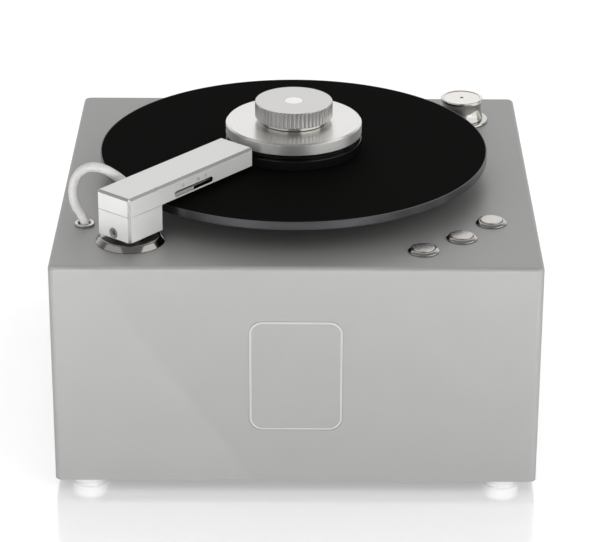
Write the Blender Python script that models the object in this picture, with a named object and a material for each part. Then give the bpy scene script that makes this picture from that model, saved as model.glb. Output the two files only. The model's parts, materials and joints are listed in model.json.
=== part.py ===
"""A record cleaning machine: a case with a driven platter, a suction arm, a waste tank and a vacuum fan.

Metres, +Z up. The origin is on the floor below the middle of the case, and the buttons face -Y.
Heights named RISE, TOP or DROP inside a piece's values count from the deck, the case's upper face.
"""

import math

import bmesh
import bpy
from mathutils import Matrix, Vector

# Shared clearances
GAP = 0.0003
WELD = 0.000001
OVERRUN = 0.003
FACET_ANGLE = math.radians(32)

# Case
CASE_WIDTH = 0.350
CASE_DEPTH = 0.340
CASE_HEIGHT = 0.170
CASE_RISE = 0.009
CASE_WALL = 0.004
DECK_THICK = 0.005
CASE_CORNER = 0.005
CASE_EDGE = 0.003
BASE_THICK = 0.003
BASE_INSET = 0.002
FOOT_RADIUS = 0.013
FOOT_EDGE = 0.0008
FOOT_INSET_X = 0.0243
FOOT_INSET_Y = 0.0175

# Badge field on the front
BADGE_WIDTH = 0.0666
BADGE_HEIGHT = 0.0858
BADGE_CORNER = 0.0093
BADGE_THICK = 0.0008
BADGE_DROP = 0.0851

# Rear panel and what it carries
WINDOW_SIDE = 0.025
WINDOW_SILL = 0.013
PANEL_THICK = 0.0025
PANEL_LAP = 0.005
LOUVRE_WIDTH = 0.050
LOUVRE_HEIGHT = 0.005
LOUVRE_PITCH = 0.012
LOUVRE_COUNT = 6
INLET_X = -0.010
INLET_WIDTH = 0.048
INLET_HEIGHT = 0.030
INLET_FLANGE = 0.0016
INLET_BODY_DEPTH = 0.022
INLET_LAP = 0.002
SOCKET_WIDTH = 0.023
SOCKET_HEIGHT = 0.016
SOCKET_DEPTH = 0.014
SOCKET_OFFSET = 0.0095
ROCKER_OFFSET = 0.0165
ROCKER_WIDTH = 0.0090
ROCKER_HALF_HEIGHT = 0.0080
ROCKER_FRONT = 0.0040
ROCKER_VALLEY = 0.0026
ROCKER_BACK = 0.0030
ROCKER_SLEEVE = 0.0040
ROCKER_TILT = math.radians(8)

# Platter, its mat and its bearing
PLATTER_X = -0.003
PLATTER_Y = 0.0055
PLATTER_MARGIN = 0.0237
PLATTER_THICK = 0.0063
PLATTER_RISE = 0.0159
PLATTER_RIM = 0.0008
PLATTER_EDGE = 0.0005
MAT_THICK = 0.0017
SPINDLE_RADIUS = 0.0036
SPINDLE_TIP = 0.0015
SPIGOT_RADIUS = 0.012
HUB_RADIUS = 0.030
HUB_RISE = 0.003
SHAFT_RADIUS = 0.0075
BEARING_RADIUS = 0.016
BEARING_HEIGHT = 0.009
BEARING_DEPTH = 0.001
BEARING_SHOULDER = 0.0025
HOUSING_RADIUS = 0.021
HOUSING_SPIGOT = 0.0295
HOUSING_FLANGE = 0.038
HOUSING_FLANGE_THICK = 0.004
HOUSING_LENGTH = 0.080

# Drive
WHEEL_RADIUS = 0.050
WHEEL_FACE = 0.010
WHEEL_WEB = 0.003
WHEEL_RIM = 0.004
WHEEL_HUB = 0.012
WHEEL_SEAT = 0.006
WHEEL_CLEARANCE = 0.0035
BELT_WIDTH = 0.006
BELT_THICK = 0.0012
PULLEY_RADIUS = 0.0125
MOTOR_ASIDE = 0.013
MOTOR_AHEAD = 0.0855
MOTOR_RADIUS = 0.028
MOTOR_BOSS = 0.011
MOTOR_SHAFT = 0.004
MOTOR_EDGE = 0.002
MOTOR_FOOT_GAP = 0.004
BRACKET_CLEARANCE = 0.0095
BRACKET_PLATE = 0.003
BRACKET_WIDTH = 0.070
BRACKET_DEPTH = 0.056
BRACKET_FOOT = 0.014
BOSS_PROUD = 0.0015

# Clamp
CLAMP_RADIUS = 0.0513
CLAMP_THICK = 0.0091
CLAMP_TOP = 0.0438
CLAMP_BEVEL = 0.0012
CLAMP_GROOVE = 0.0043
CLAMP_GROOVE_DEPTH = 0.0033
CLAMP_HUB = 0.017
SEAL_PROUD = 0.0002
SEAL_EDGE = 0.0008
CLAMP_BORE_PLAY = 0.0006
KNOB_RADIUS = 0.0293
KNOB_TOP = 0.0595
KNOB_HEIGHT = 0.0122
KNOB_EDGE = 0.0010
FLUTE_COUNT = 56
FLUTE_DEPTH = 0.0007
COLLAR_RADIUS = 0.0255
SHANK_RADIUS = 0.008
SHANK_LENGTH = 0.005
KNOB_CROWN = 0.0060
SPOT_RADIUS = 0.00715
SPOT_THICK = 0.0009

# Suction arm: lengths run along the arm from the pivot, widths across it
ARM_INSET_X = 0.0557
ARM_INSET_Y = 0.0476
ARM_LEAD = math.radians(2.33)
ARM_WIDTH = 0.0323
ARM_CHAMFER = 0.0018
BLOCK_LENGTH = 0.0357
BLOCK_LEAD = 0.0006
BLOCK_RISE = 0.0071
BLOCK_ROOF = 0.0044
BEAM_RISE = 0.0266
BEAM_HEIGHT = 0.0142
BEAM_CLEARANCE = 0.0050
CHANNEL_WIDTH = 0.018
CHANNEL_HEIGHT = 0.010
CHANNEL_START = 0.002
CHANNEL_END_WALL = 0.005
PLATE_LAP = 0.002
PLATE_THICK = 0.0012
SUCTION_SLOT_WIDTH = 0.0022
SUCTION_HEEL = 0.0032
SUCTION_TOE = 0.0082
LIP_WIDTH = 0.0040
LIP_THICK = 0.0012
LIP_EDGE = 0.0006
SIDE_SLOT_START = 0.0300
SIDE_SLOT_HEIGHT = 0.0042
SIDE_SLOT_RISE = 0.0034
SIDE_SLOT_ROUND = 0.0015
SLIDER_LENGTH = 0.0204
SLIDER_TONGUE = 0.0030
SLIDER_PROUD = 0.0002
SLIDER_TRAVEL = 0.0200
SCREW_RADIUS = 0.0037
SCREW_RISE = 0.0041
SCREW_SUNK = 0.0004
SCREW_SOCKET = 0.0023
SCREW_SOCKET_DEPTH = 0.003

# Arm column, its guide and its spring
FLANGE_RADIUS = 0.025
FLANGE_TOP_RADIUS = 0.0213
FLANGE_LIP = 0.0009
FLANGE_TOP = 0.0044
FLANGE_BORE_PLAY = 0.0015
COLUMN_RADIUS = 0.010
COLUMN_TAIL_RADIUS = 0.008
BUSH_RADIUS = 0.015
BUSH_SHARE = 0.5
BUSH_FLANGE = 0.0185
BUSH_FLANGE_THICK = 0.003
ARM_HOUSING_RADIUS = 0.024
ARM_HOUSING_WALL = 0.003
ARM_HOUSING_PLATE = 0.006
ARM_HOUSING_FLANGE = 0.033
ARM_HOUSING_CLEARANCE = 0.0134
COLLAR_THICK = 0.006
THRUST_RADIUS = 0.0185
SPRING_RADIUS = 0.0125
SPRING_WIRE = 0.0012
SPRING_TURNS = 6
SPRING_POINTS = 9

# Hose from the arm to the deck
HOSE_RADIUS = 0.0035
GROMMET_BACK = 0.0013
GROMMET_ASIDE = 0.0447
GROMMET_RADIUS = 0.00725
GROMMET_THICK = 0.0016
GROMMET_EDGE = 0.0006
GROMMET_NECK = 0.0052
GROMMET_LENGTH = 0.009
GROMMET_PLAY = 0.0004
BARB_ALONG = 0.0143
BARB_RISE = 0.0079
BARB_TILT = math.radians(20)
BARB_STEM = 0.0026
BARB_STEM_BACK = 0.0085
BARB_COLLAR = 0.0046
BARB_COLLAR_START = 0.0044
BARB_COLLAR_THICK = 0.0018
BARB_BORE = 0.0016
HOSE_LOW_END = -0.0140
HOSE_EXIT = 0.0020
HOSE_LEAD = 0.0030

# Points on the hose's way from its grommet to the arm: along the arm, across it, above the deck
HOSE_ROUTE = [
    (-0.0013, 0.0483, 0.0070),
    (-0.0011, 0.0531, 0.0120),
    (-0.0006, 0.0562, 0.0185),
    (0.0000, 0.0566, 0.0260),
    (0.0008, 0.0540, 0.0340),
    (0.0020, 0.0485, 0.0405),
    (0.0038, 0.0420, 0.0442),
    (0.0066, 0.0362, 0.0444),
    (0.0100, 0.0312, 0.0424),
]
HOSE_SPACING = 0.0030

# Buttons, on an arc about the platter's axis
BUTTON_CLEARANCE = 0.0262
BUTTON_ANGLES = {"left": -57.1, "middle": -45.0, "right": -32.9}
BEZEL_RADIUS = 0.01135
BEZEL_TOP = 0.0022
BEZEL_LIP = 0.0008
BEZEL_BEVEL = 0.0014
BEZEL_BARREL = 0.0092
BEZEL_LENGTH = 0.024
BEZEL_FLOOR = 0.003
BUTTON_RADIUS = 0.0080
BUTTON_TOP = 0.0031
BUTTON_LENGTH = 0.014
BUTTON_EDGE = 0.0006

# Waste tank, its filler and its drain
TANK_WHEEL_GAP = 0.017
TANK_SIDE_GAP = 0.007
TANK_LOW_Y = 0.022
TANK_ROOM = 0.0454
TANK_WALL = 0.003
TANK_REAR_GAP = 0.003
LID_THICK = 0.004
NIPPLE_INSET = 0.021
SUCTION_NIPPLE_INSET = 0.038
VACUUM_NIPPLE_INSET = 0.0282
NIPPLE_RADIUS = 0.005
NIPPLE_BORE = 0.003
NIPPLE_HEIGHT = 0.012
FILLER_INSET_X = 0.0447
FILLER_INSET_Y = 0.0501
FILLER_RADIUS = 0.0209
FILLER_THICK = 0.0019
FILLER_EDGE = 0.0006
FILLER_NECK = 0.0157
FILLER_BORE = 0.0124
FILLER_LENGTH = 0.014
NECK_WALL = 0.003
CAP_TOP = 0.0197
CAP_RADIUS = 0.0166
CAP_LIP = 0.0026
CAP_EDGE = 0.0009
CAP_WAIST = 0.0152
CAP_SKIRT = 0.0170
CAP_SKIRT_HEIGHT = 0.0010
CAP_STEM = 0.013
CAP_VENT = 0.0011
CAP_VENT_DEPTH = 0.003
CAP_WAIST_STEPS = 5
DRAIN_INSET = 0.054
DRAIN_RISE = 0.018
DRAIN_RADIUS = 0.0055
DRAIN_BORE = 0.0035
DRAIN_INSIDE = 0.002
DRAIN_CAP_RADIUS = 0.0085
DRAIN_CAP_THICK = 0.0028
DRAIN_PLUG_LENGTH = 0.008

# Lines inside the case: each point is a share of the way in X, in Y and of the depth below the deck
LINE_RADIUS = 0.0045
LINE_SPACING = 0.012
LINE_LEAD = 0.0062
LINE_DEPTH = 0.032
SUCTION_ROUTE_SHARES = [
    (0.023, 0.050, 0.94),
    (0.123, 0.257, 1.00),
    (0.290, 0.580, 1.00),
    (0.457, 0.871, 0.97),
    (0.645, 1.013, 0.91),
    (0.833, 1.032, 0.72),
    (0.954, 1.013, 0.69),
]
VACUUM_ROUTE_SHARES = [
    (0.059, 0.000, 0.69),
    (0.294, 0.095, 0.66),
    (0.615, 0.405, 0.72),
    (0.882, 0.810, 0.84),
    (0.981, 0.969, 1.16),
]

# Vacuum fan
FAN_SIDE_GAP = 0.014
FAN_REAR_GAP = 0.021
FAN_MOTOR_RADIUS = 0.040
FAN_ROOM = 0.0534
FAN_SHAFT = 0.004
FAN_RADIUS = 0.055
FAN_HEIGHT_SHARE = 0.51
FAN_WALL = 0.0025
FAN_SHAFT_HOLE = 0.009
FAN_INLET = 0.010
FAN_INLET_WALL = 0.002
FAN_INLET_HEIGHT = 0.008
FAN_OUTLET_WIDTH = 0.040
FAN_OUTLET_SHARE = 0.6
WHEEL_BLADES = 8
WHEEL_BLADE_RADIUS = 0.047
WHEEL_BLADE_THICK = 0.002
WHEEL_BLADE_SHARE = 0.44
FAN_HUB = 0.010
FAN_DISC = 0.002
FAN_DISC_LIFT = 0.006

# Electrical parts on the base
TRANSFORMER_SIDE_GAP = 0.024
ELECTRICS_INSET = 0.070
TRANSFORMER_WIDTH = 0.070
TRANSFORMER_DEPTH = 0.034
TRANSFORMER_HEIGHT = 0.056
COIL_WIDTH = 0.044
COIL_DEPTH = 0.056
COIL_HEIGHT = 0.040
BOARD_BRACKET_GAP = 0.006
BOARD_SIDE_GAP = 0.006
BOARD_DEPTH = 0.080
BOARD_THICK = 0.0016
BOARD_RISE = 0.010
POST_RADIUS = 0.003
POST_INSET = 0.008
RELAY_WIDTH_SHARE = 0.22
RELAY_DEPTH = 0.012
RELAY_HEIGHT = 0.015
RELAY_SPREAD_SHARE = 0.30

# Steps round a full turn
SMALL = 16
COARSE = 24
MEDIUM = 32
FINE = 64

# Sizes and places worked out from those above: the case first
DECK = CASE_RISE + CASE_HEIGHT
UNDER_DECK = DECK - DECK_THICK
BASE_LOW = CASE_RISE + BASE_INSET
BASE_TOP = BASE_LOW + BASE_THICK
SIDE = CASE_WIDTH / 2
INNER_SIDE = SIDE - CASE_WALL
REAR = CASE_DEPTH / 2
INNER_REAR = REAR - CASE_WALL
PANEL_Y = REAR - CASE_WALL - GAP - PANEL_THICK
PANEL_Z = CASE_RISE + CASE_HEIGHT / 2
WINDOW_WIDTH = CASE_WIDTH - 2 * WINDOW_SIDE
WINDOW_HEIGHT = CASE_HEIGHT - 2 * WINDOW_SILL

# The platter fills the smaller side of the deck, and its drive hangs below its bearing
PLATTER_RADIUS = min(CASE_WIDTH, CASE_DEPTH) / 2 - PLATTER_MARGIN
MAT_TOP = PLATTER_RISE + PLATTER_THICK
WHEEL_DROP = HOUSING_LENGTH + WHEEL_CLEARANCE
BRACKET_DROP = WHEEL_DROP + WHEEL_FACE + BRACKET_CLEARANCE
MOTOR_X = PLATTER_X + MOTOR_ASIDE
MOTOR_Y = PLATTER_Y - MOTOR_AHEAD
SEAL_RADIUS = CLAMP_RADIUS + SEAL_PROUD
BUTTON_ARC = PLATTER_RADIUS + BUTTON_CLEARANCE

# The arm stands in the front left corner and reaches almost to the clamp
ARM_X = -SIDE + ARM_INSET_X
ARM_Y = -REAR + ARM_INSET_Y
ARM_ANGLE = math.atan2(PLATTER_Y - ARM_Y, PLATTER_X - ARM_X) + ARM_LEAD
ARM_SPAN = math.hypot(PLATTER_X - ARM_X, PLATTER_Y - ARM_Y) * math.cos(ARM_LEAD)
BEAM_REACH = ARM_SPAN - SEAL_RADIUS - BEAM_CLEARANCE
BLOCK_REAR = BLOCK_LEAD - BLOCK_LENGTH / 2
BLOCK_FRONT = BLOCK_LEAD + BLOCK_LENGTH / 2
SUCTION_START = BLOCK_FRONT + SUCTION_HEEL
SUCTION_END = BEAM_REACH - SUCTION_TOE
SIDE_SLOT_END = SIDE_SLOT_START + SLIDER_LENGTH + SLIDER_TRAVEL + 2 * GAP
GROMMET_X = ARM_X - GROMMET_BACK * math.cos(ARM_ANGLE) - GROMMET_ASIDE * math.sin(ARM_ANGLE)
GROMMET_Y = ARM_Y - GROMMET_BACK * math.sin(ARM_ANGLE) + GROMMET_ASIDE * math.cos(ARM_ANGLE)

# The transformer lies below the arm's housing, and the board between the bracket and the side
TRANSFORMER_X = -INNER_SIDE + TRANSFORMER_SIDE_GAP + TRANSFORMER_WIDTH / 2
TRANSFORMER_Y = -REAR + ELECTRICS_INSET
TRANSFORMER_TOP = BASE_TOP + GAP + TRANSFORMER_HEIGHT
ARM_HOUSING_LENGTH = UNDER_DECK - GAP - TRANSFORMER_TOP - ARM_HOUSING_CLEARANCE
BUSH_LENGTH = ARM_HOUSING_LENGTH * BUSH_SHARE
BOARD_LOW_X = MOTOR_X + BRACKET_WIDTH / 2 + BRACKET_FOOT + BOARD_BRACKET_GAP
BOARD_HIGH_X = INNER_SIDE - BOARD_SIDE_GAP
BOARD_WIDTH = BOARD_HIGH_X - BOARD_LOW_X
BOARD_X = (BOARD_LOW_X + BOARD_HIGH_X) / 2
BOARD_Y = -REAR + ELECTRICS_INSET
RELAY_WIDTH = BOARD_WIDTH * RELAY_WIDTH_SHARE
RELAY_SPREAD = BOARD_WIDTH * RELAY_SPREAD_SHARE

# The tank and the fan leave room for their lines below the deck
TANK_LOW_X = PLATTER_X + WHEEL_RADIUS + TANK_WHEEL_GAP
TANK_HIGH_X = INNER_SIDE - TANK_SIDE_GAP
TANK_HIGH_Y = PANEL_Y - TANK_REAR_GAP
LID_TOP = UNDER_DECK - TANK_ROOM
TANK_TOP = LID_TOP - LID_THICK - GAP
NIPPLE_TOP = LID_TOP + NIPPLE_HEIGHT
NIPPLE_X = TANK_LOW_X + NIPPLE_INSET
SUCTION_NIPPLE_Y = TANK_LOW_Y + SUCTION_NIPPLE_INSET
VACUUM_NIPPLE_Y = TANK_HIGH_Y - VACUUM_NIPPLE_INSET
FILLER_X = SIDE - FILLER_INSET_X
FILLER_Y = REAR - FILLER_INSET_Y
DRAIN_X = TANK_HIGH_X - DRAIN_INSET
FAN_X = -INNER_SIDE + FAN_SIDE_GAP + FAN_RADIUS
FAN_Y = INNER_REAR - FAN_REAR_GAP - FAN_RADIUS
INLET_TOP = UNDER_DECK - FAN_ROOM
FAN_TOP = INLET_TOP - FAN_INLET_HEIGHT
FAN_HEIGHT = (FAN_TOP - BASE_TOP - 2 * GAP) * FAN_HEIGHT_SHARE
FAN_LOW = FAN_TOP - FAN_HEIGHT
FAN_OUTLET_HEIGHT = FAN_HEIGHT * FAN_OUTLET_SHARE
WHEEL_BLADE_HEIGHT = FAN_HEIGHT * WHEEL_BLADE_SHARE

# Colour, roughness, metallic
LOOKS = {
    "case_grey": ((0.47, 0.47, 0.48), 0.45, 0.6),
    "turned_aluminium": ((0.80, 0.80, 0.79), 0.30, 0.9),
    "polished_steel": ((0.72, 0.70, 0.68), 0.12, 1.0),
    "steel": ((0.45, 0.45, 0.46), 0.35, 1.0),
    "brass": ((0.66, 0.50, 0.25), 0.35, 1.0),
    "black_mat": ((0.010, 0.010, 0.010), 0.90, 0.0),
    "black_gloss": ((0.015, 0.015, 0.015), 0.20, 0.0),
    "black_plastic": ((0.030, 0.030, 0.032), 0.50, 0.0),
    "black_felt": ((0.020, 0.020, 0.020), 0.95, 0.0),
    "milky_hose": ((0.72, 0.72, 0.70), 0.40, 0.0),
    "white_plastic": ((0.85, 0.85, 0.84), 0.40, 0.0),
    "light_grey_rubber": ((0.60, 0.60, 0.60), 0.70, 0.0),
    "tank_plastic": ((0.70, 0.72, 0.72), 0.50, 0.0),
    "board_green": ((0.03, 0.17, 0.08), 0.50, 0.0),
}


def look(name):
    """The material of that name, made once."""
    material = bpy.data.materials.get(name)
    if material is None:
        colour, roughness, metallic = LOOKS[name]
        material = bpy.data.materials.new(name)
        material.use_nodes = True
        shader = material.node_tree.nodes["Principled BSDF"]
        shader.inputs["Base Color"].default_value = (*colour, 1)
        shader.inputs["Roughness"].default_value = roughness
        shader.inputs["Metallic"].default_value = metallic
    return material


def empty(name, at, turn=0.0, parent=None):
    """An empty that carries a moving group, on the axis that it moves about."""
    carrier = bpy.data.objects.new(name, None)
    carrier.location = at
    carrier.rotation_euler = (0, 0, turn)
    carrier.parent = parent
    bpy.context.collection.objects.link(carrier)
    return carrier


def piece(name, shape, material, at=(0, 0, 0), turn=(0, 0, 0), parent=None):
    """A named object from a bmesh, placed in its parent's frame."""
    bmesh.ops.recalc_face_normals(shape, faces=shape.faces)
    mesh = bpy.data.meshes.new(name)
    shape.to_mesh(mesh)
    shape.free()
    mesh.shade_smooth()
    mesh.set_sharp_from_angle(angle=FACET_ANGLE)
    mesh.materials.append(look(material))
    thing = bpy.data.objects.new(name, mesh)
    thing.location = at
    thing.rotation_euler = turn
    thing.parent = parent
    bpy.context.collection.objects.link(thing)
    return thing


def boolean(host, shape, operation):
    """Cuts a shape from the host, or joins it on; the shape is in the host's own frame."""
    tool = piece(
        f"{host.name}_tool_{len(host.modifiers) + 1}", shape, host.data.materials[0].name,
        host.location, host.rotation_euler, host.parent,
    )
    tool.hide_render = True
    tool.display_type = "WIRE"
    modifier = host.modifiers.new(tool.name, "BOOLEAN")
    modifier.operation = operation
    modifier.object = tool


def cut(host, shape):
    boolean(host, shape, "DIFFERENCE")


def add(host, shape):
    boolean(host, shape, "UNION")


def turned(profile, steps):
    """Spins (radius, height) points about Z: a closed outline, or an open one from the axis to the axis."""
    shape = bmesh.new()
    corners = [shape.verts.new((radius, 0, height)) for radius, height in profile]
    open_ended = profile[0][0] == 0 and profile[-1][0] == 0
    last = len(corners) - 1 if open_ended else len(corners)
    edges = [shape.edges.new((corners[i], corners[(i + 1) % len(corners)])) for i in range(last)]
    bmesh.ops.spin(
        shape, geom=corners + edges, cent=(0, 0, 0), axis=(0, 0, 1), angle=math.tau,
        steps=steps, use_merge=True,
    )
    bmesh.ops.remove_doubles(shape, verts=shape.verts, dist=WELD)
    bmesh.ops.dissolve_degenerate(shape, edges=shape.edges, dist=WELD)
    return shape


def cylinder(radius, low, high, steps=COARSE, middle=(0, 0)):
    """A plain upright cylinder."""
    shape = turned([(0, low), (radius, low), (radius, high), (0, high)], steps)
    bmesh.ops.translate(shape, verts=shape.verts, vec=(*middle, 0))
    return shape


def block(low, high):
    """A box between two corners."""
    size = Vector(high) - Vector(low)
    middle = (Vector(high) + Vector(low)) / 2
    shape = bmesh.new()
    bmesh.ops.create_cube(shape, size=1, matrix=Matrix.Translation(middle) @ Matrix.Diagonal((*size, 1)))
    return shape


def loft(rings, closed=False):
    """Joins rings of as many points each, with caps unless the rings close on themselves."""
    shape = bmesh.new()
    rows = [[shape.verts.new(point) for point in ring] for ring in rings]
    count = len(rows[0])
    last = len(rows) if closed else len(rows) - 1
    for i in range(last):
        low, high = rows[i], rows[(i + 1) % len(rows)]
        for k in range(count):
            shape.faces.new((low[k], low[(k + 1) % count], high[(k + 1) % count], high[k]))
    if not closed:
        shape.faces.new(rows[0])
        shape.faces.new(rows[-1])
    return shape


def prism(outline, low, high):
    """An outline in X and Y, raised from one height to another."""
    return loft([[(x, y, z) for x, y in outline] for z in (low, high)])


def bevelled(shape, chosen, width, steps=1):
    """Bevels the edges that the test picks by their two end points."""
    edges = [edge for edge in shape.edges if chosen(*(corner.co for corner in edge.verts))]
    bmesh.ops.bevel(shape, geom=edges, offset=width, segments=steps, profile=0.5, affect="EDGES")
    return shape


def rounded_outline(width, depth, radius, steps=3):
    """A rectangle about the origin with round corners."""
    points = []
    for side_x, side_y, start in ((1, 1, 0), (-1, 1, 90), (-1, -1, 180), (1, -1, 270)):
        for i in range(steps + 1):
            angle = math.radians(start + 90 * i / steps)
            points.append((
                side_x * (width / 2 - radius) + radius * math.cos(angle),
                side_y * (depth / 2 - radius) + radius * math.sin(angle),
            ))
    return points


def smooth_route(points, spacing):
    """A smooth curve through the points, read at even steps."""
    fixed = [Vector(point) for point in points]
    ends = [2 * fixed[0] - fixed[1], *fixed, 2 * fixed[-1] - fixed[-2]]
    fine = []
    for i in range(1, len(ends) - 2):
        before, start, end, after = ends[i - 1 : i + 3]
        steps = max(2, round(8 * (end - start).length / spacing))
        for k in range(steps):
            t = k / steps
            fine.append(0.5 * (
                2 * start + (end - before) * t
                + (2 * before - 5 * start + 4 * end - after) * t**2
                + (3 * start - before - 3 * end + after) * t**3
            ))
    fine.append(fixed[-1])
    along = [0.0]
    for start, end in zip(fine, fine[1:]):
        along.append(along[-1] + (end - start).length)
    count = max(2, round(along[-1] / spacing))
    route, k = [], 0
    for i in range(count + 1):
        wanted = along[-1] * i / count
        while k < len(along) - 2 and along[k + 1] < wanted:
            k += 1
        route.append(fine[k].lerp(fine[k + 1], (wanted - along[k]) / (along[k + 1] - along[k])))
    return route


def tube(name, points, radius, resolution, material, at=(0, 0, 0)):
    """A solid round tube along the points, as a curve with a bevel and filled caps."""
    curve = bpy.data.curves.new(name, "CURVE")
    curve.dimensions = "3D"
    curve.bevel_depth = radius
    curve.bevel_resolution = resolution
    curve.use_fill_caps = True
    spline = curve.splines.new("POLY")
    spline.points.add(len(points) - 1)
    for place, point in zip(spline.points, points):
        place.co = (*point, 1)
    curve.materials.append(look(material))
    thing = bpy.data.objects.new(name, curve)
    thing.location = at
    bpy.context.collection.objects.link(thing)
    return thing


def make_case():
    outline = rounded_outline(CASE_WIDTH, CASE_DEPTH, CASE_CORNER)
    shell = bevelled(
        prism(outline, CASE_RISE, DECK),
        lambda a, b: min(a.z, b.z) > DECK - WELD, CASE_EDGE, 3,
    )
    case = piece("case_shell", shell, "case_grey")
    inner_width, inner_depth = 2 * INNER_SIDE, 2 * INNER_REAR
    inside = rounded_outline(inner_width, inner_depth, CASE_CORNER - CASE_WALL, 1)
    cut(case, prism(inside, CASE_RISE - OVERRUN, UNDER_DECK))
    cut(case, block(
        (-WINDOW_WIDTH / 2, INNER_REAR - OVERRUN, PANEL_Z - WINDOW_HEIGHT / 2),
        (WINDOW_WIDTH / 2, REAR + OVERRUN, PANEL_Z + WINDOW_HEIGHT / 2),
    ))
    pocket = prism(
        rounded_outline(BADGE_WIDTH + 2 * GAP, BADGE_HEIGHT + 2 * GAP, BADGE_CORNER + GAP, 4),
        -BADGE_THICK - GAP, OVERRUN,
    )
    front = Matrix.Translation((0, -REAR, DECK - BADGE_DROP)) @ Matrix.Rotation(math.radians(90), 4, "X")
    bmesh.ops.transform(pocket, matrix=front, verts=pocket.verts)
    cut(case, pocket)
    holes = [
        ((PLATTER_X, PLATTER_Y), HOUSING_SPIGOT + GAP),
        ((ARM_X, ARM_Y), BUSH_RADIUS + GAP),
        ((GROMMET_X, GROMMET_Y), GROMMET_NECK + GAP),
        ((FILLER_X, FILLER_Y), FILLER_NECK + GAP),
        *((place, BEZEL_BARREL + GAP) for place in button_places().values()),
    ]
    for middle, radius in holes:
        cut(case, cylinder(radius, UNDER_DECK - OVERRUN, DECK + OVERRUN, COARSE, middle))

    badge = prism(rounded_outline(BADGE_WIDTH, BADGE_HEIGHT, BADGE_CORNER, 4), -BADGE_THICK, 0)
    piece("badge_plate", badge, "case_grey", (0, -REAR, DECK - BADGE_DROP), (math.radians(90), 0, 0))

    tray = rounded_outline(inner_width - 2 * GAP, inner_depth - 2 * GAP, CASE_CORNER - CASE_WALL, 1)
    piece("base_plate", prism(tray, BASE_LOW, BASE_TOP), "steel")
    foot_top = BASE_LOW - GAP
    profile = [
        (0, 0), (FOOT_RADIUS - FOOT_EDGE, 0), (FOOT_RADIUS, FOOT_EDGE), (FOOT_RADIUS, foot_top),
        (0, foot_top),
    ]
    for row, side_y in (("front", -1), ("rear", 1)):
        for hand, side_x in (("left", -1), ("right", 1)):
            place = (side_x * (SIDE - FOOT_INSET_X), side_y * (REAR - FOOT_INSET_Y), 0)
            piece(f"foot_{row}_{hand}", turned(profile, COARSE), "light_grey_rubber", place)


def make_rear():
    half_width, half_height = WINDOW_WIDTH / 2 + PANEL_LAP, WINDOW_HEIGHT / 2 + PANEL_LAP
    face = PANEL_Y + PANEL_THICK
    panel = piece("rear_panel", block(
        (-half_width, PANEL_Y, PANEL_Z - half_height), (half_width, face, PANEL_Z + half_height)
    ), "black_plastic")
    for i in range(LOUVRE_COUNT):
        middle = PANEL_Z + (i - (LOUVRE_COUNT - 1) / 2) * LOUVRE_PITCH
        cut(panel, block(
            (FAN_X - LOUVRE_WIDTH / 2, PANEL_Y - OVERRUN, middle - LOUVRE_HEIGHT / 2),
            (FAN_X + LOUVRE_WIDTH / 2, face + OVERRUN, middle + LOUVRE_HEIGHT / 2),
        ))
    body_x, body_z = INLET_WIDTH / 2 - INLET_LAP, INLET_HEIGHT / 2 - INLET_LAP
    cut(panel, block(
        (INLET_X - body_x - GAP, PANEL_Y - OVERRUN, PANEL_Z - body_z - GAP),
        (INLET_X + body_x + GAP, face + OVERRUN, PANEL_Z + body_z + GAP),
    ))
    spout_hole = cylinder(DRAIN_RADIUS + GAP, -PANEL_THICK - OVERRUN, OVERRUN)
    backwards = Matrix.Translation((DRAIN_X, face, BASE_TOP + GAP + DRAIN_RISE)) @ Matrix.Rotation(
        math.radians(-90), 4, "X"
    )
    bmesh.ops.transform(spout_hole, matrix=backwards, verts=spout_hole.verts)
    cut(panel, spout_hole)

    front = face + GAP + INLET_FLANGE
    inlet = piece("power_inlet", block(
        (-INLET_WIDTH / 2, face + GAP, -INLET_HEIGHT / 2), (INLET_WIDTH / 2, front, INLET_HEIGHT / 2)
    ), "black_plastic", (INLET_X, 0, PANEL_Z))
    inlet_back = front - INLET_BODY_DEPTH
    add(inlet, block((-body_x, inlet_back, -body_z), (body_x, front - INLET_FLANGE / 2, body_z)))
    cut(inlet, block(
        (SOCKET_OFFSET - SOCKET_WIDTH / 2, front - SOCKET_DEPTH, -SOCKET_HEIGHT / 2),
        (SOCKET_OFFSET + SOCKET_WIDTH / 2, front + OVERRUN, SOCKET_HEIGHT / 2),
    ))
    swing = math.hypot(ROCKER_HALF_HEIGHT, ROCKER_FRONT) + GAP
    cut(inlet, block(
        (-ROCKER_OFFSET - ROCKER_WIDTH / 2 - GAP, front - ROCKER_FRONT - swing, -swing),
        (-ROCKER_OFFSET + ROCKER_WIDTH / 2 + GAP, front + OVERRUN, swing),
    ))
    rocker_y = front - ROCKER_SLEEVE
    profile = [
        (-ROCKER_BACK, -ROCKER_HALF_HEIGHT / 2), (ROCKER_FRONT, -ROCKER_HALF_HEIGHT), (ROCKER_VALLEY, 0),
        (ROCKER_FRONT, ROCKER_HALF_HEIGHT), (-ROCKER_BACK, ROCKER_HALF_HEIGHT / 2),
    ]
    rocker = loft([[(x, y, z) for y, z in profile] for x in (-ROCKER_WIDTH / 2, ROCKER_WIDTH / 2)])
    place = (INLET_X - ROCKER_OFFSET, rocker_y, PANEL_Z)
    piece("power_rocker", rocker, "black_gloss", place, (-ROCKER_TILT, 0, 0))


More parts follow.
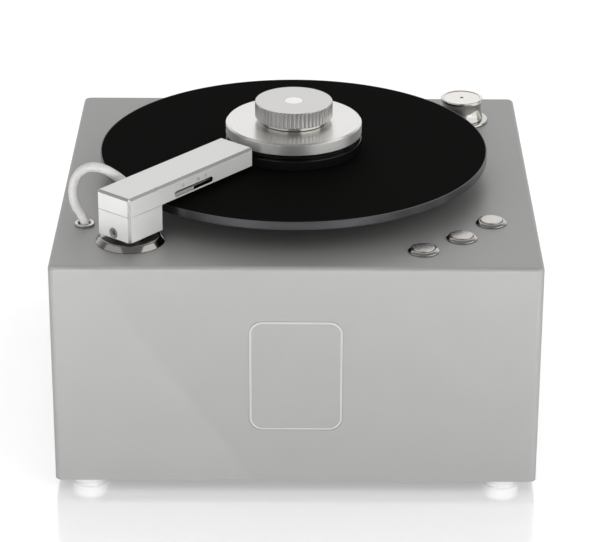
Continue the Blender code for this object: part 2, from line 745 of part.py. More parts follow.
def make_platter():
    axis = (PLATTER_X, PLATTER_Y, DECK)
    flange_low = -DECK_THICK - GAP - HOUSING_FLANGE_THICK
    upper_floor = -BEARING_DEPTH - BEARING_HEIGHT - GAP
    lower_roof = -HOUSING_LENGTH + BEARING_DEPTH + BEARING_HEIGHT + GAP
    pocket = BEARING_RADIUS + GAP
    waist = BEARING_RADIUS - BEARING_SHOULDER
    under_deck = -DECK_THICK - GAP
    piece("bearing_housing", turned([
        (pocket, 0), (HOUSING_SPIGOT, 0), (HOUSING_SPIGOT, under_deck), (HOUSING_FLANGE, under_deck),
        (HOUSING_FLANGE, flange_low), (HOUSING_RADIUS, flange_low), (HOUSING_RADIUS, -HOUSING_LENGTH),
        (pocket, -HOUSING_LENGTH), (pocket, lower_roof), (waist, lower_roof), (waist, upper_floor),
        (pocket, upper_floor),
    ], COARSE), "turned_aluminium", axis)
    bore = SHAFT_RADIUS + GAP
    for name, top in (("upper_bearing", -BEARING_DEPTH), ("lower_bearing", lower_roof - GAP)):
        low = top - BEARING_HEIGHT
        ring = turned([(bore, low), (BEARING_RADIUS, low), (BEARING_RADIUS, top), (bore, top)], COARSE)
        piece(name, ring, "steel", axis)

    turning = empty("platter_axis", axis)
    wheel_top = -WHEEL_DROP
    wheel_low = wheel_top - WHEEL_FACE
    spindle_top = KNOB_TOP - KNOB_CROWN - GAP
    spigot_top = MAT_TOP - MAT_THICK - 2 * GAP
    piece("platter_shaft", turned([
        (0, wheel_low), (WHEEL_SEAT, wheel_low), (WHEEL_SEAT, wheel_top + GAP),
        (SHAFT_RADIUS, wheel_top + GAP), (SHAFT_RADIUS, HUB_RISE), (HUB_RADIUS, HUB_RISE),
        (HUB_RADIUS, PLATTER_RISE - GAP), (SPIGOT_RADIUS, PLATTER_RISE - GAP), (SPIGOT_RADIUS, spigot_top),
        (SPINDLE_RADIUS, spigot_top), (SPINDLE_RADIUS, spindle_top - SPINDLE_TIP),
        (SPINDLE_RADIUS - SPINDLE_TIP, spindle_top), (0, spindle_top),
    ], COARSE), "steel", parent=turning)
    rim = PLATTER_RADIUS - PLATTER_RIM
    floor = MAT_TOP - MAT_THICK - GAP
    piece("platter", turned([
        (SPIGOT_RADIUS + GAP, PLATTER_RISE), (PLATTER_RADIUS - PLATTER_EDGE, PLATTER_RISE),
        (PLATTER_RADIUS, PLATTER_RISE + PLATTER_EDGE), (PLATTER_RADIUS, MAT_TOP), (rim, MAT_TOP),
        (rim, floor), (SPIGOT_RADIUS + GAP, floor),
    ], FINE), "turned_aluminium", parent=turning)
    mat_radius = rim - GAP
    hole = SPINDLE_RADIUS + CLAMP_BORE_PLAY
    piece("platter_mat", turned([
        (hole, floor + GAP), (mat_radius, floor + GAP), (mat_radius, MAT_TOP), (hole, MAT_TOP),
    ], FINE), "black_mat", parent=turning)

    bore = WHEEL_SEAT + GAP
    web = (wheel_low + wheel_top) / 2
    inner = WHEEL_RADIUS - WHEEL_RIM
    web_low, web_top = web - WHEEL_WEB / 2, web + WHEEL_WEB / 2
    piece("drive_wheel", turned([
        (bore, wheel_low), (WHEEL_HUB, wheel_low), (WHEEL_HUB, web_low), (inner, web_low),
        (inner, wheel_low), (WHEEL_RADIUS, wheel_low), (WHEEL_RADIUS, wheel_top), (inner, wheel_top),
        (inner, web_top), (WHEEL_HUB, web_top), (WHEEL_HUB, wheel_top), (bore, wheel_top),
    ], MEDIUM), "turned_aluminium", parent=turning)
    return turning


def belt_loop(first, first_radius, second, second_radius, steps):
    """The line of a belt round two wheels: an arc round each, joined by straight runs."""
    reach = Vector(second) - Vector(first)
    lean = math.acos((first_radius - second_radius) / reach.length)
    heading = math.atan2(reach.y, reach.x)
    points = []
    for middle, radius, start, end in (
        (first, first_radius, heading + lean, heading + math.tau - lean),
        (second, second_radius, heading - lean, heading + lean),
    ):
        for i in range(steps + 1):
            angle = start + (end - start) * i / steps
            points.append((middle[0] + radius * math.cos(angle), middle[1] + radius * math.sin(angle)))
    return points


def make_drive():
    web = DECK - WHEEL_DROP - WHEEL_FACE / 2
    low, high = web - BELT_WIDTH / 2, web + BELT_WIDTH / 2
    platter, motor = (PLATTER_X, PLATTER_Y), (MOTOR_X, MOTOR_Y)
    near, far = GAP, GAP + BELT_THICK
    rings = []
    for gap, z in ((near, low), (far, low), (far, high), (near, high)):
        line = belt_loop(platter, WHEEL_RADIUS + gap, motor, PULLEY_RADIUS + gap, COARSE)
        rings.append([(x, y, z) for x, y in line])
    piece("drive_belt", loft(rings, closed=True), "black_plastic")

    pulley_low, pulley_high = web - WHEEL_FACE / 2, web + WHEEL_FACE / 2
    turning = empty("motor_axis", (MOTOR_X, MOTOR_Y, 0))
    bore = MOTOR_SHAFT + GAP
    piece("motor_pulley", turned([
        (bore, pulley_low), (PULLEY_RADIUS, pulley_low), (PULLEY_RADIUS, pulley_high), (bore, pulley_high)
    ], COARSE), "brass", parent=turning)

    plate_top = DECK - BRACKET_DROP
    plate_low = plate_top - BRACKET_PLATE
    can_top = plate_low - GAP
    can_low = BASE_TOP + MOTOR_FOOT_GAP
    boss_top = plate_top + BOSS_PROUD
    piece("gear_motor", turned([
        (0, can_low), (MOTOR_RADIUS - MOTOR_EDGE, can_low), (MOTOR_RADIUS, can_low + MOTOR_EDGE),
        (MOTOR_RADIUS, can_top), (MOTOR_BOSS, can_top), (MOTOR_BOSS, boss_top), (MOTOR_SHAFT, boss_top),
        (MOTOR_SHAFT, pulley_high), (0, pulley_high),
    ], COARSE), "steel", (MOTOR_X, MOTOR_Y, 0))

    half, foot = BRACKET_WIDTH / 2, BASE_TOP + GAP
    wall, far = BRACKET_PLATE, BRACKET_WIDTH / 2 + BRACKET_FOOT
    inner = half - wall
    outline = [
        (-far, foot), (-inner, foot), (-inner, plate_low), (inner, plate_low), (inner, foot), (far, foot),
        (far, foot + wall), (half, foot + wall), (half, plate_top), (-half, plate_top),
        (-half, foot + wall), (-far, foot + wall),
    ]
    rings = [[(x, y, z) for x, z in outline] for y in (-BRACKET_DEPTH / 2, BRACKET_DEPTH / 2)]
    bracket = piece("motor_bracket", loft(rings), "steel", (MOTOR_X, MOTOR_Y, 0))
    cut(bracket, cylinder(MOTOR_BOSS + GAP, plate_low - OVERRUN, plate_top + OVERRUN))


def fluted_ring(radius, depth, height):
    """Points round an edge, one on each crest and one in each flute of that depth."""
    points = []
    for i in range(2 * FLUTE_COUNT):
        angle = math.tau * i / (2 * FLUTE_COUNT)
        reach = radius - depth * (i % 2)
        points.append((reach * math.cos(angle), reach * math.sin(angle), height))
    return points


def make_clamp(turning):
    bore = SPINDLE_RADIUS + CLAMP_BORE_PLAY
    disc_low = CLAMP_TOP - CLAMP_THICK
    seal_top = disc_low - CLAMP_GROOVE
    seal_low = MAT_TOP + GAP
    lifting = empty("clamp_axis", (0, 0, 0), parent=turning)
    piece("clamp_seal", turned([
        (CLAMP_HUB + GAP, seal_low), (SEAL_RADIUS - SEAL_EDGE, seal_low),
        (SEAL_RADIUS, seal_low + SEAL_EDGE), (SEAL_RADIUS, seal_top - SEAL_EDGE),
        (SEAL_RADIUS - SEAL_EDGE, seal_top), (CLAMP_HUB + GAP, seal_top),
    ], FINE), "black_gloss", parent=lifting)
    neck = CLAMP_RADIUS - CLAMP_GROOVE_DEPTH
    pit = SHANK_RADIUS + GAP
    pit_floor = CLAMP_TOP - SHANK_LENGTH - GAP
    piece("clamp_disc", turned([
        (bore, seal_low), (CLAMP_HUB, seal_low), (CLAMP_HUB, seal_top + GAP), (neck, seal_top + GAP),
        (neck, disc_low), (CLAMP_RADIUS, disc_low), (CLAMP_RADIUS, CLAMP_TOP - CLAMP_BEVEL),
        (CLAMP_RADIUS - CLAMP_BEVEL, CLAMP_TOP), (pit, CLAMP_TOP), (pit, pit_floor), (bore, pit_floor),
    ], FINE), "turned_aluminium", parent=lifting)

    drum_low = KNOB_TOP - KNOB_HEIGHT
    edge = KNOB_RADIUS - KNOB_EDGE
    drum = loft([
        fluted_ring(edge, 0, drum_low),
        fluted_ring(KNOB_RADIUS, FLUTE_DEPTH, drum_low + KNOB_EDGE),
        fluted_ring(KNOB_RADIUS, FLUTE_DEPTH, KNOB_TOP - KNOB_EDGE),
        fluted_ring(edge, 0, KNOB_TOP),
    ])
    knob = piece("clamp_knob", drum, "turned_aluminium", parent=lifting)
    collar_low = CLAMP_TOP + GAP
    add(knob, turned([
        (0, CLAMP_TOP - SHANK_LENGTH), (SHANK_RADIUS, CLAMP_TOP - SHANK_LENGTH), (SHANK_RADIUS, collar_low),
        (COLLAR_RADIUS, collar_low), (COLLAR_RADIUS, drum_low + KNOB_EDGE), (0, drum_low + KNOB_EDGE),
    ], MEDIUM))
    cut(knob, cylinder(bore, CLAMP_TOP - SHANK_LENGTH - OVERRUN, KNOB_TOP - KNOB_CROWN))
    cut(knob, cylinder(SPOT_RADIUS + GAP, KNOB_TOP - SPOT_THICK - GAP, KNOB_TOP + OVERRUN))
    insert = cylinder(SPOT_RADIUS, KNOB_TOP - SPOT_THICK, KNOB_TOP)
    piece("knob_insert", insert, "white_plastic", parent=lifting)


def arm_prism(start, end, half_width, low, high, top_chamfer):
    """A straight bar along the arm with its upright edges chamfered, and its top ones if asked."""
    return bevelled(
        block((start, -half_width, low), (end, half_width, high)),
        lambda a, b: abs(a.z - b.z) > WELD or (top_chamfer and min(a.z, b.z) > high - WELD),
        ARM_CHAMFER,
    )


def make_arm_base():
    axis = (ARM_X, ARM_Y, DECK)
    bore = COLUMN_RADIUS + FLANGE_BORE_PLAY
    piece("arm_flange", turned([
        (bore, GAP), (FLANGE_RADIUS, GAP), (FLANGE_RADIUS, FLANGE_LIP), (FLANGE_TOP_RADIUS, FLANGE_TOP),
        (bore, FLANGE_TOP),
    ], MEDIUM), "polished_steel", axis)
    plate_top = -DECK_THICK - GAP
    plate_low = plate_top - ARM_HOUSING_PLATE
    inner = ARM_HOUSING_RADIUS - ARM_HOUSING_WALL
    low = plate_top - ARM_HOUSING_LENGTH
    floor = low + ARM_HOUSING_WALL
    tail_hole = COLUMN_TAIL_RADIUS + GAP
    piece("arm_housing", turned([
        (BUSH_RADIUS + GAP, plate_top), (ARM_HOUSING_FLANGE, plate_top), (ARM_HOUSING_FLANGE, plate_low),
        (ARM_HOUSING_RADIUS, plate_low), (ARM_HOUSING_RADIUS, low), (tail_hole, low), (tail_hole, floor),
        (inner, floor), (inner, plate_low), (BUSH_RADIUS + GAP, plate_low),
    ], COARSE), "turned_aluminium", axis)
    bore = COLUMN_RADIUS + GAP
    flange_top = plate_low - GAP
    flange_low = flange_top - BUSH_FLANGE_THICK
    piece("arm_guide_bush", turned([
        (bore, 0), (BUSH_RADIUS, 0), (BUSH_RADIUS, flange_top), (BUSH_FLANGE, flange_top),
        (BUSH_FLANGE, flange_low), (BUSH_RADIUS, flange_low), (BUSH_RADIUS, -BUSH_LENGTH),
        (bore, -BUSH_LENGTH),
    ], COARSE), "brass", axis)

    lifting = empty("arm_lift_axis", axis)
    collar_top = -BUSH_LENGTH - GAP
    collar_low = collar_top - COLLAR_THICK
    piece("arm_thrust_collar", turned([
        (tail_hole, collar_low), (THRUST_RADIUS, collar_low), (THRUST_RADIUS, collar_top),
        (tail_hole, collar_top),
    ], COARSE), "steel", parent=lifting)
    top, bottom = collar_low - GAP - SPRING_WIRE, floor + GAP + SPRING_WIRE
    coil = []
    for i in range(SPRING_TURNS * SPRING_POINTS + 1):
        share = i / (SPRING_TURNS * SPRING_POINTS)
        angle = math.tau * SPRING_TURNS * share
        height = bottom + (top - bottom) * share
        coil.append((SPRING_RADIUS * math.cos(angle), SPRING_RADIUS * math.sin(angle), height))
    nearest = min(
        (Vector(coil[i]) - Vector(coil[k])).length
        for i in range(len(coil)) for k in range(i + SPRING_POINTS // 2, len(coil))
    )
    print(f"arm_spring: least gap between its curls {1000 * (nearest - 2 * SPRING_WIRE):.2f} mm")
    tube("arm_spring", coil, SPRING_WIRE, 1, "steel", axis)
    return lifting


def barb_port():
    """Where the hose barb leaves the arm's far side, in the arm's frame; its axis is the barb's."""
    place = Matrix.Translation((BARB_ALONG, ARM_WIDTH / 2, BEAM_RISE + BARB_RISE))
    return place @ Matrix.Rotation(BARB_TILT - math.radians(90), 4, "X")


def make_arm(lifting):
    swinging = empty("arm_swing_axis", (0, 0, 0), ARM_ANGLE, lifting)
    shoulder = -BUSH_LENGTH
    block_low, block_top = BLOCK_RISE, BEAM_RISE - GAP
    column_top = block_top - BLOCK_ROOF - GAP
    tail = -DECK_THICK - GAP - ARM_HOUSING_LENGTH
    piece("arm_column", turned([
        (0, tail), (COLUMN_TAIL_RADIUS, tail), (COLUMN_TAIL_RADIUS, shoulder), (COLUMN_RADIUS, shoulder),
        (COLUMN_RADIUS, column_top), (0, column_top),
    ], COARSE), "polished_steel", parent=swinging)

    half = ARM_WIDTH / 2
    body = arm_prism(BLOCK_REAR, BLOCK_FRONT, half, block_low, block_top, False)
    tower = piece("arm_block", body, "turned_aluminium", parent=swinging)
    cut(tower, cylinder(COLUMN_RADIUS + GAP, block_low - OVERRUN, column_top + GAP))
    screw_z = block_low + SCREW_RISE
    along = Matrix.Translation((BLOCK_REAR, 0, screw_z)) @ Matrix.Rotation(math.radians(90), 4, "Y")
    hole = cylinder(SCREW_RADIUS + GAP, -OVERRUN, -BLOCK_REAR, COARSE)
    bmesh.ops.transform(hole, matrix=along, verts=hole.verts)
    cut(tower, hole)
    length = -BLOCK_REAR - COLUMN_RADIUS - GAP
    screw = piece(
        "arm_set_screw", cylinder(SCREW_RADIUS, SCREW_SUNK, length, COARSE), "steel",
        (BLOCK_REAR, 0, screw_z), (0, math.radians(90), 0), swinging,
    )
    cut(screw, cylinder(SCREW_SOCKET, SCREW_SUNK - OVERRUN, SCREW_SUNK + SCREW_SOCKET_DEPTH, 6))

    beam_top = BEAM_RISE + BEAM_HEIGHT
    plate_start, plate_end = CHANNEL_START - PLATE_LAP, BEAM_REACH - CHANNEL_END_WALL + PLATE_LAP
    plate_half = CHANNEL_WIDTH / 2 + PLATE_LAP
    plate_top = BEAM_RISE + PLATE_THICK
    body = arm_prism(BLOCK_REAR, BEAM_REACH, half, BEAM_RISE, beam_top, True)
    beam = piece("arm_beam", body, "turned_aluminium", parent=swinging)
    cut(beam, block(
        (CHANNEL_START, -CHANNEL_WIDTH / 2, BEAM_RISE - OVERRUN),
        (BEAM_REACH - CHANNEL_END_WALL, CHANNEL_WIDTH / 2, BEAM_RISE + CHANNEL_HEIGHT),
    ))
    cut(beam, block(
        (plate_start - GAP, -plate_half - GAP, BEAM_RISE - OVERRUN),
        (plate_end + GAP, plate_half + GAP, plate_top + GAP),
    ))
    slot_middle = BEAM_RISE + SIDE_SLOT_RISE
    slot_length = SIDE_SLOT_END - SIDE_SLOT_START
    side_slot = prism(
        rounded_outline(slot_length, SIDE_SLOT_HEIGHT, SIDE_SLOT_ROUND, 3),
        CHANNEL_WIDTH / 2 - OVERRUN, half + OVERRUN,
    )
    slot_x = (SIDE_SLOT_START + SIDE_SLOT_END) / 2
    sideways = Matrix.Translation((slot_x, 0, slot_middle)) @ Matrix.Rotation(math.radians(90), 4, "X")
    bmesh.ops.transform(side_slot, matrix=sideways, verts=side_slot.verts)
    cut(beam, side_slot)
    port = barb_port()
    stem_low = -BARB_STEM_BACK + GAP
    port_hole = cylinder(BARB_STEM + GAP, -BARB_STEM_BACK, OVERRUN + BARB_STEM)
    bmesh.ops.transform(port_hole, matrix=port, verts=port_hole.verts)
    cut(beam, port_hole)

    collar_end = BARB_COLLAR_START + BARB_COLLAR_THICK
    piece("hose_barb", turned([
        (BARB_BORE, stem_low), (BARB_STEM, stem_low), (BARB_STEM, BARB_COLLAR_START),
        (BARB_COLLAR, BARB_COLLAR_START), (BARB_COLLAR, collar_end), (BARB_BORE, collar_end),
    ], SMALL), "polished_steel", port.translation, port.to_euler(), swinging)

    plate = piece("suction_plate", block(
        (plate_start, -plate_half, BEAM_RISE), (plate_end, plate_half, plate_top)
    ), "turned_aluminium", parent=swinging)
    cut(plate, block(
        (SUCTION_START, -SUCTION_SLOT_WIDTH / 2, BEAM_RISE - OVERRUN),
        (SUCTION_END, SUCTION_SLOT_WIDTH / 2, plate_top + OVERRUN),
    ))
    lip_top = BEAM_RISE - GAP
    lip_low = lip_top - LIP_THICK
    for hand, side in (("left", 1), ("right", -1)):
        middle = side * (SUCTION_SLOT_WIDTH + LIP_WIDTH) / 2
        low_side, high_side = middle - LIP_WIDTH / 2, middle + LIP_WIDTH / 2
        lip = bevelled(
            block((SUCTION_START, low_side, lip_low), (SUCTION_END, high_side, lip_top)),
            lambda a, b: max(a.z, b.z) < lip_low + WELD and abs(a.x - b.x) > WELD,
            LIP_EDGE,
        )
        piece(f"suction_lip_{hand}", lip, "black_felt", parent=swinging)

    slider_x = SIDE_SLOT_START + GAP + SLIDER_LENGTH / 2
    slider_half = SIDE_SLOT_HEIGHT / 2 - GAP
    outer = half + SLIDER_PROUD
    slider_outline = rounded_outline(SLIDER_LENGTH, 2 * slider_half, SIDE_SLOT_ROUND - GAP, 3)
    slider = prism(slider_outline, CHANNEL_WIDTH / 2 - SLIDER_TONGUE, outer)
    place, turn = (slider_x, 0, slot_middle), (math.radians(90), 0, 0)
    piece("size_slider", slider, "polished_steel", place, turn, swinging)


def upright_end(x, y, z, step):
    """Three points, one above the other, that make a line leave its end straight."""
    return [Vector((x, y, z + i * step)) for i in range(3)]


def line_route(start, shares, end):
    """A line's points from one upright end to the other, below the deck on the way."""
    way = end[0] - start[0]
    between = [
        Vector((start[0].x + way.x * along_x, start[0].y + way.y * along_y, DECK - LINE_DEPTH * down))
        for along_x, along_y, down in shares
    ]
    return [*start, *between, *reversed(end)]


def make_hoses():
    arm = Matrix.Translation((ARM_X, ARM_Y, DECK)) @ Matrix.Rotation(ARM_ANGLE, 4, "Z")
    mouth = BARB_COLLAR_START + BARB_COLLAR_THICK + GAP
    grommet = Vector((GROMMET_X, GROMMET_Y, DECK))
    points = [
        *(grommet + Vector((0, 0, rise)) for rise in (HOSE_LOW_END, HOSE_LOW_END / 2, HOSE_EXIT)),
        *(arm @ Vector(point) for point in HOSE_ROUTE),
        arm @ barb_port() @ Vector((0, 0, mouth + HOSE_LEAD)),
        arm @ barb_port() @ Vector((0, 0, mouth)),
    ]
    tube("suction_hose", smooth_route(points, HOSE_SPACING), HOSE_RADIUS, 2, "milky_hose")
    bore = HOSE_RADIUS + GROMMET_PLAY
    top = GAP + GROMMET_THICK
    piece("hose_grommet", turned([
        (bore, -GROMMET_LENGTH), (GROMMET_NECK, -GROMMET_LENGTH), (GROMMET_NECK, GAP),
        (GROMMET_RADIUS, GAP), (GROMMET_RADIUS, top - GROMMET_EDGE), (GROMMET_RADIUS - GROMMET_EDGE, top),
        (bore, top),
    ], COARSE), "polished_steel", grommet)
    from_hose = upright_end(GROMMET_X, GROMMET_Y, DECK + HOSE_LOW_END - GAP, -LINE_LEAD)
    into_lid = upright_end(NIPPLE_X, SUCTION_NIPPLE_Y, NIPPLE_TOP + GAP, LINE_LEAD)
    suction = line_route(from_hose, SUCTION_ROUTE_SHARES, into_lid)
    tube("suction_line", smooth_route(suction, LINE_SPACING), LINE_RADIUS, 2, "milky_hose")
    from_lid = upright_end(NIPPLE_X, VACUUM_NIPPLE_Y, NIPPLE_TOP + GAP, LINE_LEAD)
    into_fan = upright_end(FAN_X, FAN_Y, INLET_TOP + GAP, LINE_LEAD)
    vacuum = line_route(from_lid, VACUUM_ROUTE_SHARES, into_fan)
    tube("vacuum_line", smooth_route(vacuum, LINE_SPACING), LINE_RADIUS, 2, "milky_hose")


def button_places():
    """Where each button stands on its arc."""
    return {
        name: (
            PLATTER_X + BUTTON_ARC * math.cos(math.radians(angle)),
            PLATTER_Y + BUTTON_ARC * math.sin(math.radians(angle)),
        )
        for name, angle in BUTTON_ANGLES.items()
    }


def make_buttons():
    bore = BUTTON_RADIUS + GAP
    floor = -BEZEL_LENGTH + BEZEL_FLOOR
    for name, (x, y) in button_places().items():
        piece(f"button_bezel_{name}", turned([
            (0, -BEZEL_LENGTH), (BEZEL_BARREL, -BEZEL_LENGTH), (BEZEL_BARREL, GAP), (BEZEL_RADIUS, GAP),
            (BEZEL_RADIUS, BEZEL_LIP), (BEZEL_RADIUS - BEZEL_BEVEL, BEZEL_TOP), (bore, BEZEL_TOP),
            (bore, floor), (0, floor),
        ], COARSE), "polished_steel", (x, y, DECK))
        piece(f"button_cap_{name}", turned([
            (0, BUTTON_TOP - BUTTON_LENGTH), (BUTTON_RADIUS, BUTTON_TOP - BUTTON_LENGTH),
            (BUTTON_RADIUS, BUTTON_TOP - BUTTON_EDGE), (BUTTON_RADIUS - BUTTON_EDGE, BUTTON_TOP),
            (0, BUTTON_TOP),
        ], COARSE), "polished_steel", (x, y, DECK))


def make_tank():
    low_z = BASE_TOP + GAP
    body = block((TANK_LOW_X, TANK_LOW_Y, low_z), (TANK_HIGH_X, TANK_HIGH_Y, TANK_TOP))
    tub = piece("waste_tank", body, "tank_plastic")
    cut(tub, block(
        (TANK_LOW_X + TANK_WALL, TANK_LOW_Y + TANK_WALL, low_z + TANK_WALL),
        (TANK_HIGH_X - TANK_WALL, TANK_HIGH_Y - TANK_WALL, TANK_TOP + OVERRUN),
    ))
    face = PANEL_Y + PANEL_THICK
    drain = (DRAIN_X, face, low_z + DRAIN_RISE)
    backwards = (math.radians(-90), 0, 0)
    facing = Matrix.Translation(drain) @ Matrix.Rotation(math.radians(-90), 4, "X")
    spout_low = TANK_HIGH_Y - TANK_WALL - DRAIN_INSIDE - face
    spout_hole = cylinder(DRAIN_RADIUS + GAP, spout_low - OVERRUN, TANK_HIGH_Y - face + OVERRUN)
    bmesh.ops.transform(spout_hole, matrix=facing, verts=spout_hole.verts)
    cut(tub, spout_hole)

    lid_low = TANK_TOP + GAP
    body = block((TANK_LOW_X, TANK_LOW_Y, lid_low), (TANK_HIGH_X, TANK_HIGH_Y, LID_TOP))
    lid = piece("tank_lid", body, "tank_plastic")
    neck_bore = FILLER_NECK + GAP
    neck_top = UNDER_DECK - GAP
    filler = (FILLER_X, FILLER_Y)
    add(lid, cylinder(neck_bore + NECK_WALL, lid_low + GAP, neck_top, COARSE, filler))
    cut(lid, cylinder(neck_bore, lid_low - OVERRUN, neck_top + OVERRUN, COARSE, filler))
    for y in (SUCTION_NIPPLE_Y, VACUUM_NIPPLE_Y):
        nipple = (NIPPLE_X, y)
        add(lid, cylinder(NIPPLE_RADIUS, lid_low + GAP, NIPPLE_TOP, SMALL, nipple))
        cut(lid, cylinder(NIPPLE_BORE, lid_low - OVERRUN, NIPPLE_TOP + OVERRUN, SMALL, nipple))

    ring_top = GAP + FILLER_THICK
    piece("filler_ring", turned([
        (FILLER_BORE, -FILLER_LENGTH), (FILLER_NECK, -FILLER_LENGTH), (FILLER_NECK, GAP),
        (FILLER_RADIUS, GAP), (FILLER_RADIUS, ring_top - FILLER_EDGE),
        (FILLER_RADIUS - FILLER_EDGE, ring_top), (FILLER_BORE, ring_top),
    ], MEDIUM), "polished_steel", (FILLER_X, FILLER_Y, DECK))
    seat = ring_top + GAP
    waist_low, waist_high = seat + CAP_SKIRT_HEIGHT, CAP_TOP - CAP_LIP
    waist = []
    for i in range(CAP_WAIST_STEPS + 1):
        share = i / CAP_WAIST_STEPS
        foot_share = (1 - share) ** 3
        lip_share = share**6
        radius = CAP_WAIST + (CAP_SKIRT - CAP_WAIST) * foot_share + (CAP_RADIUS - CAP_WAIST) * lip_share
        waist.append((radius, waist_low + (waist_high - waist_low) * share))
    stem = FILLER_BORE - GAP
    piece("tank_cap", turned([
        (0, seat - CAP_STEM), (stem, seat - CAP_STEM), (stem, seat), (CAP_SKIRT, seat), *waist,
        (CAP_RADIUS, CAP_TOP - CAP_EDGE), (CAP_RADIUS - CAP_EDGE, CAP_TOP), (CAP_VENT, CAP_TOP),
        (CAP_VENT, CAP_TOP - CAP_VENT_DEPTH), (0, CAP_TOP - CAP_VENT_DEPTH),
    ], COARSE), "polished_steel", (FILLER_X, FILLER_Y, DECK))

    spout_end = GAP
    piece("drain_spout", turned([
        (DRAIN_BORE, spout_low), (DRAIN_RADIUS, spout_low), (DRAIN_RADIUS, spout_end),
        (DRAIN_BORE, spout_end),
    ], SMALL), "black_plastic", drain, backwards)
    plug = DRAIN_BORE - GAP
    cap_low = spout_end + GAP
    piece("drain_cap", turned([
        (0, cap_low - DRAIN_PLUG_LENGTH), (plug, cap_low - DRAIN_PLUG_LENGTH), (plug, cap_low),
        (DRAIN_CAP_RADIUS, cap_low), (DRAIN_CAP_RADIUS, cap_low + DRAIN_CAP_THICK),
        (0, cap_low + DRAIN_CAP_THICK),
    ], SMALL), "black_plastic", drain, backwards)


def make_fan():
    low = BASE_TOP + GAP
    can_top = FAN_LOW - GAP
    disc_low = FAN_LOW + FAN_WALL + FAN_DISC_LIFT
    axis = (FAN_X, FAN_Y, 0)
    shaft_top = disc_low + FAN_DISC + WHEEL_BLADE_HEIGHT
    piece("vacuum_motor", turned([
        (0, low), (FAN_MOTOR_RADIUS, low), (FAN_MOTOR_RADIUS, can_top), (FAN_SHAFT, can_top),
        (FAN_SHAFT, shaft_top), (0, shaft_top),
    ], COARSE), "steel", axis)
    inner = FAN_RADIUS - FAN_WALL
    collar = FAN_INLET + FAN_INLET_WALL
    casing = piece("vacuum_housing", turned([
        (FAN_SHAFT_HOLE, FAN_LOW), (FAN_RADIUS, FAN_LOW), (FAN_RADIUS, FAN_TOP), (collar, FAN_TOP),
        (collar, INLET_TOP), (FAN_INLET, INLET_TOP), (FAN_INLET, FAN_TOP - FAN_WALL),
        (inner, FAN_TOP - FAN_WALL), (inner, FAN_LOW + FAN_WALL), (FAN_SHAFT_HOLE, FAN_LOW + FAN_WALL),
    ], COARSE), "black_plastic", axis)
    middle = (FAN_LOW + FAN_TOP) / 2
    cut(casing, block(
        (-FAN_OUTLET_WIDTH / 2, 0, middle - FAN_OUTLET_HEIGHT / 2),
        (FAN_OUTLET_WIDTH / 2, FAN_RADIUS + OVERRUN, middle + FAN_OUTLET_HEIGHT / 2),
    ))
    turning = empty("impeller_axis", axis)
    outline = []
    valley = math.tau / WHEEL_BLADES / 2
    for i in range(WHEEL_BLADES):
        angle = math.tau * i / WHEEL_BLADES
        along = Vector((math.cos(angle), math.sin(angle)))
        across = Vector((-along.y, along.x)) * WHEEL_BLADE_THICK / 2
        for reach, side in ((FAN_HUB, -1), (WHEEL_BLADE_RADIUS, -1), (WHEEL_BLADE_RADIUS, 1), (FAN_HUB, 1)):
            outline.append(tuple(along * reach + across * side))
        outline.append((FAN_HUB * math.cos(angle + valley), FAN_HUB * math.sin(angle + valley)))
    disc_top = disc_low + FAN_DISC
    wheel = piece("vacuum_impeller", cylinder(
        WHEEL_BLADE_RADIUS + WHEEL_BLADE_THICK / 2, disc_low, disc_top, COARSE
    ), "turned_aluminium", parent=turning)
    add(wheel, prism(outline, disc_low + FAN_DISC / 2, disc_top + WHEEL_BLADE_HEIGHT))
    cut(wheel, cylinder(FAN_SHAFT + GAP, disc_low - OVERRUN, shaft_top + OVERRUN, SMALL))


def make_electrics():
    low = BASE_TOP + GAP
    core = piece("transformer", block(
        (-TRANSFORMER_WIDTH / 2, -TRANSFORMER_DEPTH / 2, low),
        (TRANSFORMER_WIDTH / 2, TRANSFORMER_DEPTH / 2, TRANSFORMER_TOP),
    ), "steel", (TRANSFORMER_X, TRANSFORMER_Y, 0))
    coil_low = low + (TRANSFORMER_HEIGHT - COIL_HEIGHT) / 2
    add(core, block(
        (-COIL_WIDTH / 2, -COIL_DEPTH / 2, coil_low),
        (COIL_WIDTH / 2, COIL_DEPTH / 2, coil_low + COIL_HEIGHT),
    ))
    board_low = low + BOARD_RISE
    board_top = board_low + BOARD_THICK
    board = piece("control_board", block(
        (-BOARD_WIDTH / 2, -BOARD_DEPTH / 2, board_low), (BOARD_WIDTH / 2, BOARD_DEPTH / 2, board_top)
    ), "board_green", (BOARD_X, BOARD_Y, 0))
    for side_x in (-1, 1):
        for side_y in (-1, 1):
            corner = (side_x * (BOARD_WIDTH / 2 - POST_INSET), side_y * (BOARD_DEPTH / 2 - POST_INSET))
            add(board, cylinder(POST_RADIUS, low, board_low + BOARD_THICK / 2, 8, corner))
    for place in (-1, 0, 1):
        x = place * RELAY_SPREAD
        add(board, block(
            (x - RELAY_WIDTH / 2, -RELAY_DEPTH / 2, board_low + BOARD_THICK / 2),
            (x + RELAY_WIDTH / 2, RELAY_DEPTH / 2, board_top + RELAY_HEIGHT),
        ))


def main():
    for thing in list(bpy.data.objects):
        bpy.data.objects.remove(thing, do_unlink=True)
    make_case()
    make_rear()
    turning = make_platter()
    make_drive()
    make_clamp(turning)
    make_arm(make_arm_base())
    make_hoses()
    make_buttons()
    make_tank()
    make_fan()
    make_electrics()


main()
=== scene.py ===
"""A record cleaning machine over its fixed frame: case, platter, clamp, suction arm, buttons and stage.

Metres, +Z up, buttons facing -Y. Heights named rise or top count from the deck, the case's upper face.
"""

import json
import math

import bmesh
import bpy
from mathutils import Matrix, Vector


